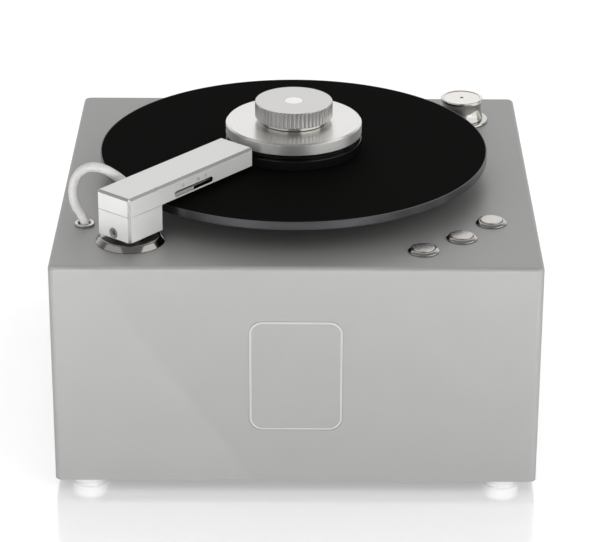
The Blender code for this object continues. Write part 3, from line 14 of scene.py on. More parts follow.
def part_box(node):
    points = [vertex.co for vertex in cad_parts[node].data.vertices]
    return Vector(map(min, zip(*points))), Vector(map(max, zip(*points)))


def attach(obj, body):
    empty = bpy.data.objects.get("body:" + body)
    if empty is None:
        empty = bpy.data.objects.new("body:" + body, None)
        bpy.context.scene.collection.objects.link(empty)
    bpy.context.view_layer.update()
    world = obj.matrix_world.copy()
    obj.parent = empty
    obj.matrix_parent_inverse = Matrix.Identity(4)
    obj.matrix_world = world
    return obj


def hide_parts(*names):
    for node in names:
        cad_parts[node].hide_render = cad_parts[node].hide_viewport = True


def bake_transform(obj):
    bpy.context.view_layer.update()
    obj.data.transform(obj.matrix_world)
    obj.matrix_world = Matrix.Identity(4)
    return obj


bl_info = {
    "name": "Record Cleaning Machine",
    "version": (1, 0, 0),
    "blender": (4, 5, 0),
    "location": "3D View > Sidebar > Cleaner",
    "description": "Models and finishes the pieces of a record cleaning machine",
    "category": "Add Mesh",
}

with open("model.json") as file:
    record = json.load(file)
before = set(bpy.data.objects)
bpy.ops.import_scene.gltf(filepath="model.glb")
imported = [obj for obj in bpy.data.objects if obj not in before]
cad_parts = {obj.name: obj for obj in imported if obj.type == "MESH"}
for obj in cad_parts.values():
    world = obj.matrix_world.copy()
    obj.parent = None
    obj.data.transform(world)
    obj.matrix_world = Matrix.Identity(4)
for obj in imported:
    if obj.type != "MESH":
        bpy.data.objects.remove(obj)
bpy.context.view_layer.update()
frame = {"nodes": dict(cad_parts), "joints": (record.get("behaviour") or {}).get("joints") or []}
JOINTS = {joint["name"]: joint for joint in frame["joints"]}

CASE_LOW, CASE_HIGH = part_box("case_shell")
DECK = CASE_HIGH.z
PLATTER_AT = Vector((*JOINTS["platter_spin"]["pos_m"][:2], DECK))
ARM_AT = Vector((*JOINTS["arm_swing"]["pos_m"][:2], DECK))
ALONG_ARM = Vector(JOINTS["slider_slide"]["axis"])
ARM_TURN = math.atan2(ALONG_ARM.y, ALONG_ARM.x)
ARM = Matrix.Translation(ARM_AT) @ Matrix.Rotation(ARM_TURN, 4, "Z")
SIDES = ("left", "middle", "right")
TINY = 0.00001
# Pieces that touch are drawn this far apart
SEAT = 0.0003
# Radius of the hole for the spindle in the mat and the clamp
SPINDLE_HOLE = 0.0042


def middle_of(node):
    """The middle of a CAD node's box."""
    low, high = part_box(node)
    return (low + high) / 2


def on_deck(node):
    """The point of the deck below or above a round CAD node."""
    middle = middle_of(node)
    return Vector((middle.x, middle.y, DECK))


def round_box(node):
    """A round CAD node's radius, and its lowest and highest height above the deck."""
    low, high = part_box(node)
    return (high.x - low.x) / 2, low.z - DECK, high.z - DECK


def rises(node):
    """A CAD node's lowest and highest height above the deck."""
    return tuple(corner.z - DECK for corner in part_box(node))


def linear(code):
    """An sRGB hex value as linear red, green and blue."""
    shades = [int(code[i : i + 2], 16) / 255 for i in (1, 3, 5)]
    return tuple(s / 12.92 if s <= 0.04045 else ((s + 0.055) / 1.055) ** 2.4 for s in shades)


def length(name, description, millimetres):
    """A length that a user can change, given in millimetres."""
    return bpy.props.FloatProperty(
        name=name, description=description, default=millimetres / 1000, min=0, unit="LENGTH", precision=5
    )


def tint(name, description, code):
    """A colour that a user can change, given as an sRGB hex value."""
    return bpy.props.FloatVectorProperty(
        name=name, description=description, default=linear(code), min=0, max=1, size=3, subtype="COLOR"
    )


def watts(name, description, power):
    """A lamp's power that a user can change."""
    return bpy.props.FloatProperty(name=name, description=description, default=power, min=0, unit="POWER")


def level(name, description, share):
    """A brightness that a user can change."""
    return bpy.props.FloatProperty(name=name, description=description, default=share, min=0)


class CaseSettings(bpy.types.PropertyGroup):
    corner: length("Corner", "Radius of the case's upright corners", 5)
    edge: length("Top edge", "Radius of the edge round the deck", 3)
    wall: length("Wall", "Thickness of the case's walls", 4)
    deck: length("Deck", "Thickness of the deck", 5)
    rim: length("Badge rim", "Width of the bright rim round the badge field", 1.5)
    rim_proud: length("Badge recess", "Depth of the badge field inside its rim", 0.25)
    badge_corner: length("Badge corner", "Radius of the badge's corners", 9.3)
    lacquer: tint("Lacquer", "Colour of the silver lacquer", "#A0A09F")
    rim_colour: tint("Rim", "Colour of the bright rim of the badge", "#DCDCDC")
    rubber: tint("Feet", "Colour of the feet", "#727270")


class PlatterSettings(bpy.types.PropertyGroup):
    rim: length("Rim", "Width of bare metal round the mat", 0.8)
    chamfer: length("Chamfer", "Chamfer below the platter's edge", 0.5)
    metal: tint("Metal", "Colour of the platter's dark anodised aluminium", "#565658")
    mat: tint("Mat", "Colour of the mat", "#0A0908")


class ClampSettings(bpy.types.PropertyGroup):
    edge: length("Edge", "Chamfer round the top of the disc", 1.2)
    flutes: bpy.props.IntProperty(
        name="Flutes", description="Flutes round the knob", default=56, min=8, max=120
    )
    flute_depth: length("Flute depth", "Depth of the valleys between the flutes", 0.9)
    metal: tint("Metal", "Colour of the clamp's satin aluminium", "#E6E5E3")
    acrylic: tint("Lower disc", "Colour of the lower disc", "#0A0A0A")
    spot: tint("Spot", "Colour of the round insert in the knob", "#FAF9F7")


class ArmSettings(bpy.types.PropertyGroup):
    chamfer: length("Chamfer", "Chamfer of the arm's long edges", 1.8)
    slot_rise: length("Slot height", "Height of the side slot's middle above the deck", 30.0)
    metal: tint("Metal", "Colour of the arm's satin aluminium", "#E2E2E0")
    marks: tint("Marks", "Colour of the size marks", "#55534F")


class HoseSettings(bpy.types.PropertyGroup):
    diameter: length("Diameter", "Outer diameter of the hose", 7)
    wall: length("Wall", "Thickness of the hose's wall", 1.3)
    rib: length("Rib pitch", "Distance between the faint ribs of the hose", 1.6)
    silicone: tint("Silicone", "Colour of the hose", "#C8C7C5")


class ControlSettings(bpy.types.PropertyGroup):
    crown: length("Crown", "Height of the dome on the buttons", 0.1)
    steel: tint("Steel", "Colour of the polished steel", "#D3D0CB")


class StageSettings(bpy.types.PropertyGroup):
    floor: tint("Floor", "Colour of the floor", "#F2F2F2")
    top_power: watts("Top light", "Power of the light overhead", 8)
    left_power: watts("Left light", "Power of the light at the front left", 14)
    right_power: watts("Right light", "Power of the light at the front right", 30)
    front_power: watts("Front light", "Power of the low light in front", 8.6)
    floor_power: watts("Floor lights", "Power of each light on the floor in front", 8)
    ambient: level("Ambient", "Strength of the even light from all round", 0.54)
    shade: level("Shade", "Brightness of the room that shiny pieces mirror beside the backdrop", 0.25)


def settings(name):
    """One of the groups of settings of this machine."""
    return getattr(bpy.context.scene, f"cleaner_{name}")


def only(thing):
    """Leaves one object selected and active."""
    bpy.ops.object.select_all(action="DESELECT")
    thing.select_set(True)
    bpy.context.view_layer.objects.active = thing


def settle(thing):
    """Moves an object's place, turn and size into its mesh."""
    only(thing)
    bpy.ops.object.transform_apply(location=True, rotation=True, scale=True)
    return thing


def turned(name, at, profile, steps=128):
    """Turns (radius, height) points about an upright axis, by extruding a ring from point to point.

    A profile that ends where it starts makes a ring with a bore; any other one is closed at both ends.
    """
    at = Vector(at)
    radius, height = profile[0]
    bpy.ops.object.select_all(action="DESELECT")
    bpy.ops.mesh.primitive_circle_add(vertices=steps, radius=radius, location=at + Vector((0, 0, height)))
    thing = bpy.context.object
    thing.name = name
    bpy.ops.object.mode_set(mode="EDIT")
    bored = profile[0] == profile[-1]
    bpy.ops.mesh.select_all(action="SELECT")
    if not bored:
        bpy.ops.mesh.edge_face_add()
    for wide, high in profile[1:]:
        bpy.ops.mesh.extrude_edges_move(TRANSFORM_OT_translate={"value": (0, 0, high - height)})
        if wide != radius:
            share = wide / radius
            bpy.ops.transform.resize(value=(share, share, 1), center_override=at + Vector((0, 0, high)))
        radius, height = wide, high
    if not bored:
        bpy.ops.mesh.edge_face_add()
    bpy.ops.mesh.select_all(action="SELECT")
    bpy.ops.mesh.remove_doubles(threshold=TINY / 10)
    bpy.ops.mesh.normals_make_consistent(inside=False)
    bpy.ops.object.mode_set(mode="OBJECT")
    return settle(thing)


def slab(name, low, high):
    """A box between two corners, for shaping."""
    low, high = Vector(low), Vector(high)
    bpy.ops.object.select_all(action="DESELECT")
    bpy.ops.mesh.primitive_cube_add(size=1, location=(low + high) / 2, scale=high - low)
    bpy.context.object.name = name
    return settle(bpy.context.object)


def pick(thing, kind, chosen):
    """Opens a mesh for editing with only the edges or faces selected that the test chooses."""
    only(thing)
    bpy.ops.object.mode_set(mode="EDIT")
    bpy.ops.mesh.select_mode(type=kind)
    bpy.ops.mesh.select_all(action="DESELECT")
    shape = bmesh.from_edit_mesh(thing.data)
    for part in shape.edges if kind == "EDGE" else shape.faces:
        part.select_set(chosen(part))
    bmesh.update_edit_mesh(thing.data)


def upright(start, end):
    """Whether an edge runs up and down."""
    return abs(start.z - end.z) > TINY


def fore_and_aft(start, end):
    """Whether an edge runs from front to back."""
    return abs(start.y - end.y) > TINY


def bevel_edges(thing, chosen, width, segments=1):
    """Bevels the edges that the test picks by their two ends."""
    pick(thing, "EDGE", lambda edge: chosen(edge.verts[0].co, edge.verts[1].co))
    bpy.ops.mesh.bevel(offset=width, segments=segments, affect="EDGES", clamp_overlap=True)
    bpy.ops.object.mode_set(mode="OBJECT")
    return thing


def soften(thing, width, angle=30):
    """Rounds every edge sharper than the angle by the same small radius."""
    only(thing)
    bpy.ops.object.modifier_add(type="BEVEL")
    modifier = thing.modifiers[-1]
    modifier.width = width
    modifier.segments = 2
    modifier.limit_method = "ANGLE"
    modifier.angle_limit = math.radians(angle)
    bpy.ops.object.modifier_apply(modifier=modifier.name)
    return thing


def cut(thing, *tools):
    """Cuts the tools out of a piece, and removes them."""
    for tool in tools:
        only(thing)
        bpy.ops.object.modifier_add(type="BOOLEAN")
        modifier = thing.modifiers[-1]
        modifier.operation = "DIFFERENCE"
        modifier.object = tool
        bpy.ops.object.modifier_apply(modifier=modifier.name)
        bpy.data.objects.remove(tool)
    return thing


def drum(name, at, radius, low, high, steps=64):
    """A plain round tool or blank between two heights over a point."""
    return turned(name, at, [(radius, low), (radius, high)], steps)


def turn_about(thing, matrix):
    """Puts a piece that was made round the origin into its place."""
    thing.matrix_world = matrix
    return settle(thing)


def copied(first, move):
    """A copy of a finished piece with a mesh of its own, moved by a matrix."""
    only(first)
    bpy.ops.object.duplicate()
    copy = bpy.context.object
    copy.parent = None
    return turn_about(copy, move)


def give(thing, *finishes):
    """Gives a piece its finishes; faces that aren't told otherwise take the first one."""
    thing.data.materials.clear()
    for finish in finishes:
        thing.data.materials.append(finish)


def dress(thing, finish, body, slot, *nodes):
    """Gives a piece its finish, unless it has some already, and its body; it stands for the nodes named."""
    if finish:
        give(thing, finish)
    only(thing)
    bpy.ops.object.shade_smooth_by_angle(angle=math.radians(30))
    # Flat faces keep one normal beside the small bevels
    bpy.ops.object.modifier_add(type="WEIGHTED_NORMAL")
    modifier = thing.modifiers[-1]
    modifier.keep_sharp = True
    bpy.ops.object.modifier_apply(modifier=modifier.name)
    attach(thing, body)
    if nodes:
        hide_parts(*nodes)
    return thing


def refinish(finish, *nodes):
    """Gives CAD nodes that keep their shape a better material."""
    for node in nodes:
        give(frame["nodes"][node], finish)


def add_node(material, kind, inputs=None, **values):
    """Adds a shader node, sets its values, and sets or links its inputs."""
    tree = material.node_tree
    made = tree.nodes.new(kind)
    for name, value in values.items():
        setattr(made, name, value)
    for name, value in (inputs or {}).items():
        socket = made.inputs[name]
        if isinstance(value, bpy.types.NodeSocket):
            tree.links.new(value, socket)
        else:
            socket.default_value = value
    return made


def start_material(name, **constants):
    """A new material with its Principled shader set, or the one already made, and whether it is new."""
    material = bpy.data.materials.get(name)
    if material:
        return material, None
    material = bpy.data.materials.new(name)
    material.use_nodes = True
    shader = material.node_tree.nodes["Principled BSDF"]
    for socket, value in constants.items():
        shader.inputs[socket.replace("_", " ")].default_value = value
    return material, shader


def connect(material, shader, **sources):
    """Links node outputs to the shader's sockets."""
    for socket, source in sources.items():
        material.node_tree.links.new(source, shader.inputs[socket.replace("_", " ")])


def maths(holder, operation, *values):
    """One step of arithmetic on numbers or outputs."""
    return add_node(holder, "ShaderNodeMath", dict(enumerate(values)), operation=operation).outputs[0]


def vector_maths(holder, operation, *values, output="Vector"):
    """One step of arithmetic on vectors."""
    made = add_node(holder, "ShaderNodeVectorMath", dict(enumerate(values)), operation=operation)
    return made.outputs[output]


def own_place(material):
    """Where a shaded point lies in the object's own space."""
    return add_node(material, "ShaderNodeTexCoord").outputs["Object"]


def grain(material, size, detail=2.0, stretch=(1, 1, 1)):
    """Noise in object space whose features are about the given size in metres."""
    drawn_out = add_node(material, "ShaderNodeMapping", {"Vector": own_place(material), "Scale": stretch})
    return add_node(
        material, "ShaderNodeTexNoise",
        {"Vector": drawn_out.outputs["Vector"], "Scale": 1 / size, "Detail": detail, "Roughness": 0.55},
    ).outputs["Fac"]


def spread(material, value, low, high):
    """Maps a value from 0..1 round its middle onto a range."""
    return add_node(
        material, "ShaderNodeMapRange",
        {"Value": value, "From Min": 0.3, "From Max": 0.7, "To Min": low, "To Max": high},
    ).outputs["Result"]


def shade_between(material, value, dark, light):
    """A colour between two shades."""
    return add_node(
        material, "ShaderNodeMix", {"Factor": value, "A": (*dark, 1), "B": (*light, 1)}, data_type="RGBA"
    ).outputs["Result"]


def dimmed(colour, share):
    """A colour made darker or lighter by a share."""
    return tuple(min(1, part * share) for part in colour)


def bumped(material, height, depth, strength=1.0):
    """A bump of that depth in metres from a height between 0 and 1."""
    return add_node(
        material, "ShaderNodeBump", {"Height": height, "Distance": depth, "Strength": strength}
    ).outputs["Normal"]


def seen_rays(holder):
    """The light path node of a material or world, and whether a ray comes from what is seen or mirrored."""
    path = add_node(holder, "ShaderNodeLightPath")
    seen = path.outputs["Is Camera Ray"]
    for kind in ("Is Glossy Ray", "Is Transmission Ray"):
        seen = maths(holder, "MAXIMUM", seen, path.outputs[kind])
    return path, seen


def grained(name, dark, light, size, roughness=None, bump=None, stretch=(1, 1, 1), patches=None, **constants):
    """A finish whose shade, gloss and relief follow one fine grain of the given size in metres.

    Roughness gives its two ends, and bump the relief's depth in metres and its strength. Patches gives the
    shade a coarser grain of its own.
    """
    material, shader = start_material(name, **constants)
    if shader:
        pattern = grain(material, size, stretch=stretch)
        shades = grain(material, patches) if patches else pattern
        sources = {"Base_Color": shade_between(material, spread(material, shades, 0, 1), dark, light)}
        if roughness:
            sources["Roughness"] = spread(material, pattern, *roughness)
        if bump:
            sources["Normal"] = bumped(material, pattern, *bump)
        connect(material, shader, **sources)
    return material


def silver_lacquer():
    """Silver lacquer on sheet steel: satin grey, faintly pebbled, and still a mirror to dark things near."""
    colour = settings("case").lacquer
    material, shader = start_material("silver_lacquer", Metallic=0.55)
    if shader:
        # The pebble of sprayed lacquer is about 0.5 mm wide, drawn at 0.9 mm so that it shows
        pebble = grain(material, 0.0009)
        # Spraying leaves clouds of about 40 mm that can hardly be seen
        cloud = spread(material, grain(material, 0.040, 1.0), 0, 1)
        connect(
            material, shader,
            Base_Color=shade_between(material, cloud, dimmed(colour, 0.99), dimmed(colour, 1.01)),
            Roughness=spread(material, pebble, 0.43, 0.49),
            Normal=bumped(material, pebble, 0.00001, 0.5),
        )
    return material


def turned_metal(name, at, colour, roughness, pitch, streak=0.6):
    """Turned aluminium: the tool's rings fan the light into bright and dark wedges from the axis."""
    material, shader = start_material(name, Metallic=1.0, Anisotropic=streak, Anisotropic_Rotation=0.25)
    if shader:
        from_axis = vector_maths(material, "ADD", own_place(material), (-at[0], -at[1], 0))
        round_axis = vector_maths(material, "CROSS_PRODUCT", (0, 0, 1), from_axis)
        tangent = add_node(
            material, "ShaderNodeVectorTransform", {"Vector": round_axis}, vector_type="VECTOR",
            convert_from="OBJECT", convert_to="WORLD",
        ).outputs["Vector"]
        # The tool's feed is about 0.1 mm a turn; one ring is drawn for about six times the pitch, 4 or 5 mm,
        # so that they show
        rings = add_node(
            material, "ShaderNodeTexWave",
            {"Vector": from_axis, "Scale": 1 / pitch / 20}, wave_type="RINGS", rings_direction="Z",
        ).outputs["Fac"]
        connect(
            material, shader,
            Base_Color=shade_between(material, rings, dimmed(colour, 0.97), colour),
            Roughness=spread(material, rings, roughness - 0.02, roughness + 0.02),
            Normal=bumped(material, rings, 0.000001, 0.5),
            Tangent=vector_maths(material, "NORMALIZE", tangent),
        )
    return material


def satin_aluminium(name="satin_anodised_aluminium", share=1.0):
    """Milled aluminium, finely blasted and anodised clear: bright and satin, with no mirror in it."""
    colour = dimmed(settings("arm").metal, share)
    material, shader = start_material(name, Metallic=0.6)
    if shader:
        turned_back = add_node(
            material, "ShaderNodeMapping", {"Vector": own_place(material), "Rotation": (0, 0, -ARM_TURN)}
        ).outputs["Vector"]
        # Brushing lines are about 0.05 mm wide and 10 mm long, drawn at 0.3 mm so that they show
        stretched = add_node(
            material, "ShaderNodeMapping", {"Vector": turned_back, "Scale": (0.03, 1, 1)}
        ).outputs["Vector"]
        lines = add_node(
            material, "ShaderNodeTexNoise", {"Vector": stretched, "Scale": 1 / 0.0003, "Detail": 2.0}
        ).outputs["Fac"]
        connect(
            material, shader,
            Base_Color=shade_between(material, spread(material, lines, 0, 1), dimmed(colour, 0.96), colour),
            Roughness=spread(material, lines, 0.40, 0.48),
            Normal=bumped(material, lines, 0.000004, 0.4),
        )
    return material


def cut_edge(name, colour):
    """Chamfers cut after blasting: smoother than the faces beside them, so they mirror the dim ceiling."""
    # Cutter marks about 0.1 mm apart, drawn at 0.3 mm so that they show
    return grained(name, dimmed(colour, 0.92), colour, 0.0003, (0.22, 0.28), Metallic=1.0)


def cut_rim():
    """The badge's diamond-cut rim: brighter than the lacquer round it."""
    colour = settings("case").rim_colour
    # Cutting marks are about 0.3 mm apart
    return grained("bright_cut_rim", dimmed(colour, 0.94), colour, 0.0003, (0.30, 0.38), Metallic=0.9)


def polished_steel(name="polished_stainless_steel", share=1.0):
    """Polished stainless steel or nickel plate: a warm mirror, broken a little by fine buffing marks."""
    colour = dimmed(settings("controls").steel, share)
    # Buffing marks are a few hundredths of a millimetre wide, drawn at 0.4 mm so that they show
    return grained(
        name, dimmed(colour, 0.97), colour, 0.0004, (0.07, 0.12), stretch=(1, 1, 4), Metallic=1.0
    )


def brushed_steel(name="brushed_button_steel", share=1.0):
    """Brushed stainless steel or nickel: softer than the polished kind, with the grain of a rotary brush."""
    colour = dimmed(settings("controls").steel, share)
    # The brush leaves lines of about 0.1 mm, drawn at 0.5 mm so that they show
    return grained(
        name, dimmed(colour, 0.92), colour, 0.0005, (0.20, 0.28), stretch=(0.2, 1, 1), Metallic=1.0
    )


def bare_steel():
    """Bare steel of inner parts: rolled or ground, grey and a little uneven."""
    # Rolling leaves patches of about 6 mm and marks of about 0.5 mm
    return grained(
        "bare_steel", linear("#8E8F91"), linear("#A3A4A6"), 0.0005, (0.30, 0.42), patches=0.006, Metallic=1.0
    )


def mat_rubber():
    """Black rubber mat, moulded with a fine matt grain that swallows light."""
    colour = settings("platter").mat
    # The moulded grain is about 0.4 mm, drawn at 0.7 mm so that it shows
    return grained(
        "matt_black_rubber", dimmed(colour, 0.8), dimmed(colour, 1.2), 0.0007, (0.80, 0.92), (0.00003, 0.6),
        IOR=1.52, Specular_IOR_Level=0.03,
    )


def mark_ink():
    """Dark fill of the engraved size marks: matt and a little worn."""
    colour = settings("arm").marks
    # The wear shows as specks of about 0.4 mm
    return grained("engraved_marks", dimmed(colour, 0.8), colour, 0.0004, Roughness=0.6, IOR=1.5)


def black_acrylic():
    """Cast black acrylic, turned and half polished: a deep black with soft, broad highlights."""
    colour = settings("clamp").acrylic
    # Polishing leaves a haze in patches of about 2 mm
    return grained(
        "polished_black_acrylic", dimmed(colour, 0.9), dimmed(colour, 1.1), 0.002, (0.15, 0.20), IOR=1.49
    )


def milky_silicone():
    """Extruded silicone hose, milky and slightly see-through, with faint rings along it."""
    group = settings("hose")
    material, shader = start_material(
        "milky_silicone", IOR=1.41, Transmission_Weight=0.15,
        Subsurface_Weight=0.6, Subsurface_Scale=0.003, Subsurface_Radius=(1, 1, 1),
    )
    if shader:
        along = add_node(material, "ShaderNodeAttribute", attribute_name="along").outputs["Fac"]
        rings = maths(material, "SINE", maths(material, "MULTIPLY", along, math.tau / group.rib))
        ribs = add_node(
            material, "ShaderNodeMapRange", {"Value": rings, "From Min": -1, "From Max": 1}
        ).outputs["Result"]
        connect(
            material, shader,
            Base_Color=shade_between(material, ribs, dimmed(group.silicone, 0.94), group.silicone),
            Roughness=spread(material, grain(material, 0.001), 0.26, 0.34),
            Normal=bumped(material, ribs, 0.00006, 0.5),
        )
    return material


def line_silicone():
    """The same milky silicone on the lines inside the case, without rings."""
    colour = settings("hose").silicone
    # A haze in patches of about 4 mm
    return grained(
        "milky_line_silicone", dimmed(colour, 0.9), colour, 0.004, (0.26, 0.36),
        IOR=1.41, Subsurface_Weight=0.4, Subsurface_Scale=0.002, Subsurface_Radius=(1, 1, 1),
    )


def foot_rubber():
    """Moulded grey rubber, matt and soft-edged, which looks pale in the low light from the front."""
    colour = settings("case").rubber
    # The moulded grain is about 0.4 mm
    return grained(
        "light_grey_rubber", dimmed(colour, 0.92), colour, 0.0004, (0.60, 0.72), (0.00002, 0.5), IOR=1.52
    )


def moulded(name, code, roughness, texture, depth=0.00002, ior=1.53):
    """Moulded ABS, rubber or polythene: even colour, with its mould's spark-eroded texture.

    Texture is the width of its specks: 0.5 or 0.6 mm on the matt kinds, where real ones are about 0.1 mm.
    """
    colour = linear(code)
    gloss = (roughness - 0.04, roughness + 0.04)
    return grained(name, dimmed(colour, 0.9), dimmed(colour, 1.05), texture, gloss, (depth, 0.6), IOR=ior)


def white_acetal():
    """White acetal insert, turned flat: clean and slightly glossy."""
    colour = settings("clamp").spot
    # Turning marks of about 0.1 mm, drawn at 1 mm so that they show
    return grained(
        "white_acetal", dimmed(colour, 0.97), colour, 0.001, (0.28, 0.36),
        IOR=1.48, Subsurface_Weight=0.2, Subsurface_Scale=0.002, Subsurface_Radius=(1, 1, 1),
    )


def turned_brass():
    """Turned brass: yellow metal with a soft shine and faint tool marks."""
    # Tool marks of about 0.1 mm, drawn at 0.6 mm so that they show
    return grained(
        "turned_brass", linear("#B4934F"), linear("#C9A862"), 0.0006, (0.26, 0.36), stretch=(0.2, 0.2, 1),
        Metallic=1.0,
    )


def felt_pile():
    """Black felt of the suction lips: short pile that looks furry and dull at a low angle."""
    # The pile's tufts are about 0.3 mm
    return grained(
        "black_felt", linear("#0E0E0E"), linear("#242424"), 0.0003, bump=(0.0001,),
        Sheen_Weight=0.6, Sheen_Roughness=0.6, Specular_IOR_Level=0.2, Roughness=0.95,
    )


def circuit_board():
    """Glass-fibre board under green solder mask: glossy, with light tracks between darker fields."""
    material, shader = start_material("green_circuit_board", IOR=1.55, Roughness=0.3)
    if shader:
        # Tracks about 2 mm apart
        tracks = add_node(
            material, "ShaderNodeTexBrick",
            {
                "Vector": own_place(material),
                "Color1": (*linear("#1F6B3C"), 1), "Color2": (*linear("#1A5C33"), 1),
                "Mortar": (*linear("#2E8A50"), 1), "Scale": 120, "Mortar Size": 0.03,
            },
        ).outputs["Color"]
        connect(material, shader, Base_Color=tracks)
    return material


class CLEANER_OT_camera(bpy.types.Operator):
    """Places the camera where the machine was seen from"""

    bl_idname = "cleaner.camera"
    bl_label = "Camera"

    def execute(self, context):
        # Found by fitting the case's edges
        yaw, pitch, roll = (math.radians(angle) for angle in (-0.2263, 24.3194, 0.1694))
        bpy.ops.object.select_all(action="DESELECT")
        bpy.ops.object.camera_add(location=(0.00947, -1.87375, 0.94668))
        camera = context.object
        camera.name = "camera"
        turn = Matrix.Rotation(-yaw, 3, "Z") @ Matrix.Rotation(math.radians(90) - pitch, 3, "X")
        camera.rotation_euler = (turn @ Matrix.Rotation(roll, 3, "Z")).to_euler()
        camera.data.sensor_fit = "HORIZONTAL"
        camera.data.sensor_width = 36
        camera.data.lens = 159.71
        camera.data.clip_end = 50
        context.scene.camera = camera
        return {"FINISHED"}


def smooth_route(points, spacing):
    """A smooth curve through the points, read at even steps."""
    fixed = [Vector(point) for point in points]
    ends = [2 * fixed[0] - fixed[1], *fixed, 2 * fixed[-1] - fixed[-2]]
    fine = []
    for i in range(1, len(ends) - 2):
        before, start, end, after = ends[i - 1 : i + 3]
        steps = max(2, round(8 * (end - start).length / spacing))
        for k in range(steps):
            t = k / steps
            fine.append(0.5 * (
                2 * start + (end - before) * t
                + (2 * before - 5 * start + 4 * end - after) * t**2
                + (3 * start - before - 3 * end + after) * t**3
            ))
    fine.append(fixed[-1])
    along = [0.0]
    for start, end in zip(fine, fine[1:]):
        along.append(along[-1] + (end - start).length)
    count = max(2, round(along[-1] / spacing))
    route, k = [], 0
    for i in range(count + 1):
        wanted = along[-1] * i / count
        while k < len(along) - 2 and along[k + 1] < wanted:
            k += 1
        route.append(fine[k].lerp(fine[k + 1], (wanted - along[k]) / (along[k + 1] - along[k])))
    return route, along[-1]


# The hose's way: up out of its grommet, in a tight bow, and down to the barb on the arm's far side.
# The middle points are along the arm, across it and above the deck, as in the part's source.
HOSE_BOW = [
    (-0.0013, 0.0483, 0.0070),
    (-0.0011, 0.0531, 0.0120),
    (-0.0006, 0.0562, 0.0185),
    (0.0000, 0.0566, 0.0260),
    (0.0008, 0.0540, 0.0340),
    (0.0020, 0.0485, 0.0405),
    (0.0038, 0.0420, 0.0442),
    (0.0066, 0.0362, 0.0444),
    (0.0100, 0.0312, 0.0424),
]
HOSE_LOW_END = -0.0140
BARB_AT = Vector((0.0143, 0.01615, 0.0345))
BARB_TILT = math.radians(20)
BARB_MOUTH = 0.0014
HOSE_LEAD = 0.008
BARB = Matrix.Translation(BARB_AT) @ Matrix.Rotation(BARB_TILT - math.radians(90), 4, "X")


def hose_route():
    """The hose's points in the machine's frame, and its length."""
    grommet = on_deck("hose_grommet")
    barb = ARM @ BARB
    points = [grommet + Vector((0, 0, rise)) for rise in (HOSE_LOW_END, HOSE_LOW_END / 2, 0.002)]
    points += [ARM @ Vector(point) for point in HOSE_BOW]
    points += [barb @ Vector((0, 0, BARB_MOUTH + HOSE_LEAD)), barb @ Vector((0, 0, BARB_MOUTH))]
    return smooth_route(points, 0.0012)


class CLEANER_OT_hose(bpy.types.Operator):
    """Makes the milky hose that bows from the deck to the arm, and its grommet"""

    bl_idname = "cleaner.hose"
    bl_label = "Hose"

    def execute(self, context):
        group = settings("hose")
        route, reach = hose_route()
        curve = bpy.data.curves.new("suction_hose_line", "CURVE")
        curve.dimensions = "3D"
        curve.bevel_depth = group.diameter / 2
        curve.bevel_resolution = 6
        spline = curve.splines.new("POLY")
        spline.points.add(len(route) - 1)
        for place, point in zip(spline.points, route):
            place.co = (*point, 1)
        hose = bpy.data.objects.new("milky_hose", curve)
        context.collection.objects.link(hose)
        only(hose)
        bpy.ops.object.convert(target="MESH")
        hose = context.object
        bpy.ops.object.mode_set(mode="EDIT")
        bpy.ops.mesh.select_all(action="SELECT")
        bpy.ops.mesh.remove_doubles(threshold=TINY / 10)
        bpy.ops.mesh.normals_make_consistent(inside=False)
        bpy.ops.object.mode_set(mode="OBJECT")
        bpy.ops.object.modifier_add(type="SOLIDIFY")
        wall = hose.modifiers[-1]
        wall.thickness = group.wall
        wall.offset = -1
        bpy.ops.object.modifier_apply(modifier=wall.name)
        along = hose.data.attributes.new("along", "FLOAT", "POINT")
        step = reach / (len(route) - 1)
        for corner, value in zip(hose.data.vertices, along.data):
            nearest = min(range(len(route)), key=lambda i: (route[i] - corner.co).length_squared)
            value.value = nearest * step
        give(hose, milky_silicone())
        bpy.ops.object.shade_smooth_by_angle(angle=math.radians(60))
        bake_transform(hose)
        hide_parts("suction_hose")

        lip, under, top = round_box("hose_grommet")
        bore, neck = 0.0045, 0.0052
        ring = turned("chrome_grommet", on_deck("hose_grommet"), [
            (bore, under), (neck, under), (neck, SEAT), (lip, SEAT), (lip, top - 0.0006),
            (lip - 0.0002, top - 0.0002), (lip - 0.0007, top), (bore + 0.0006, top), (bore, top - 0.0005),
            (bore, under),
        ], 96)
        dress(ring, polished_steel(), "chassis", "polished_steel", "hose_grommet")
        return {"FINISHED"}


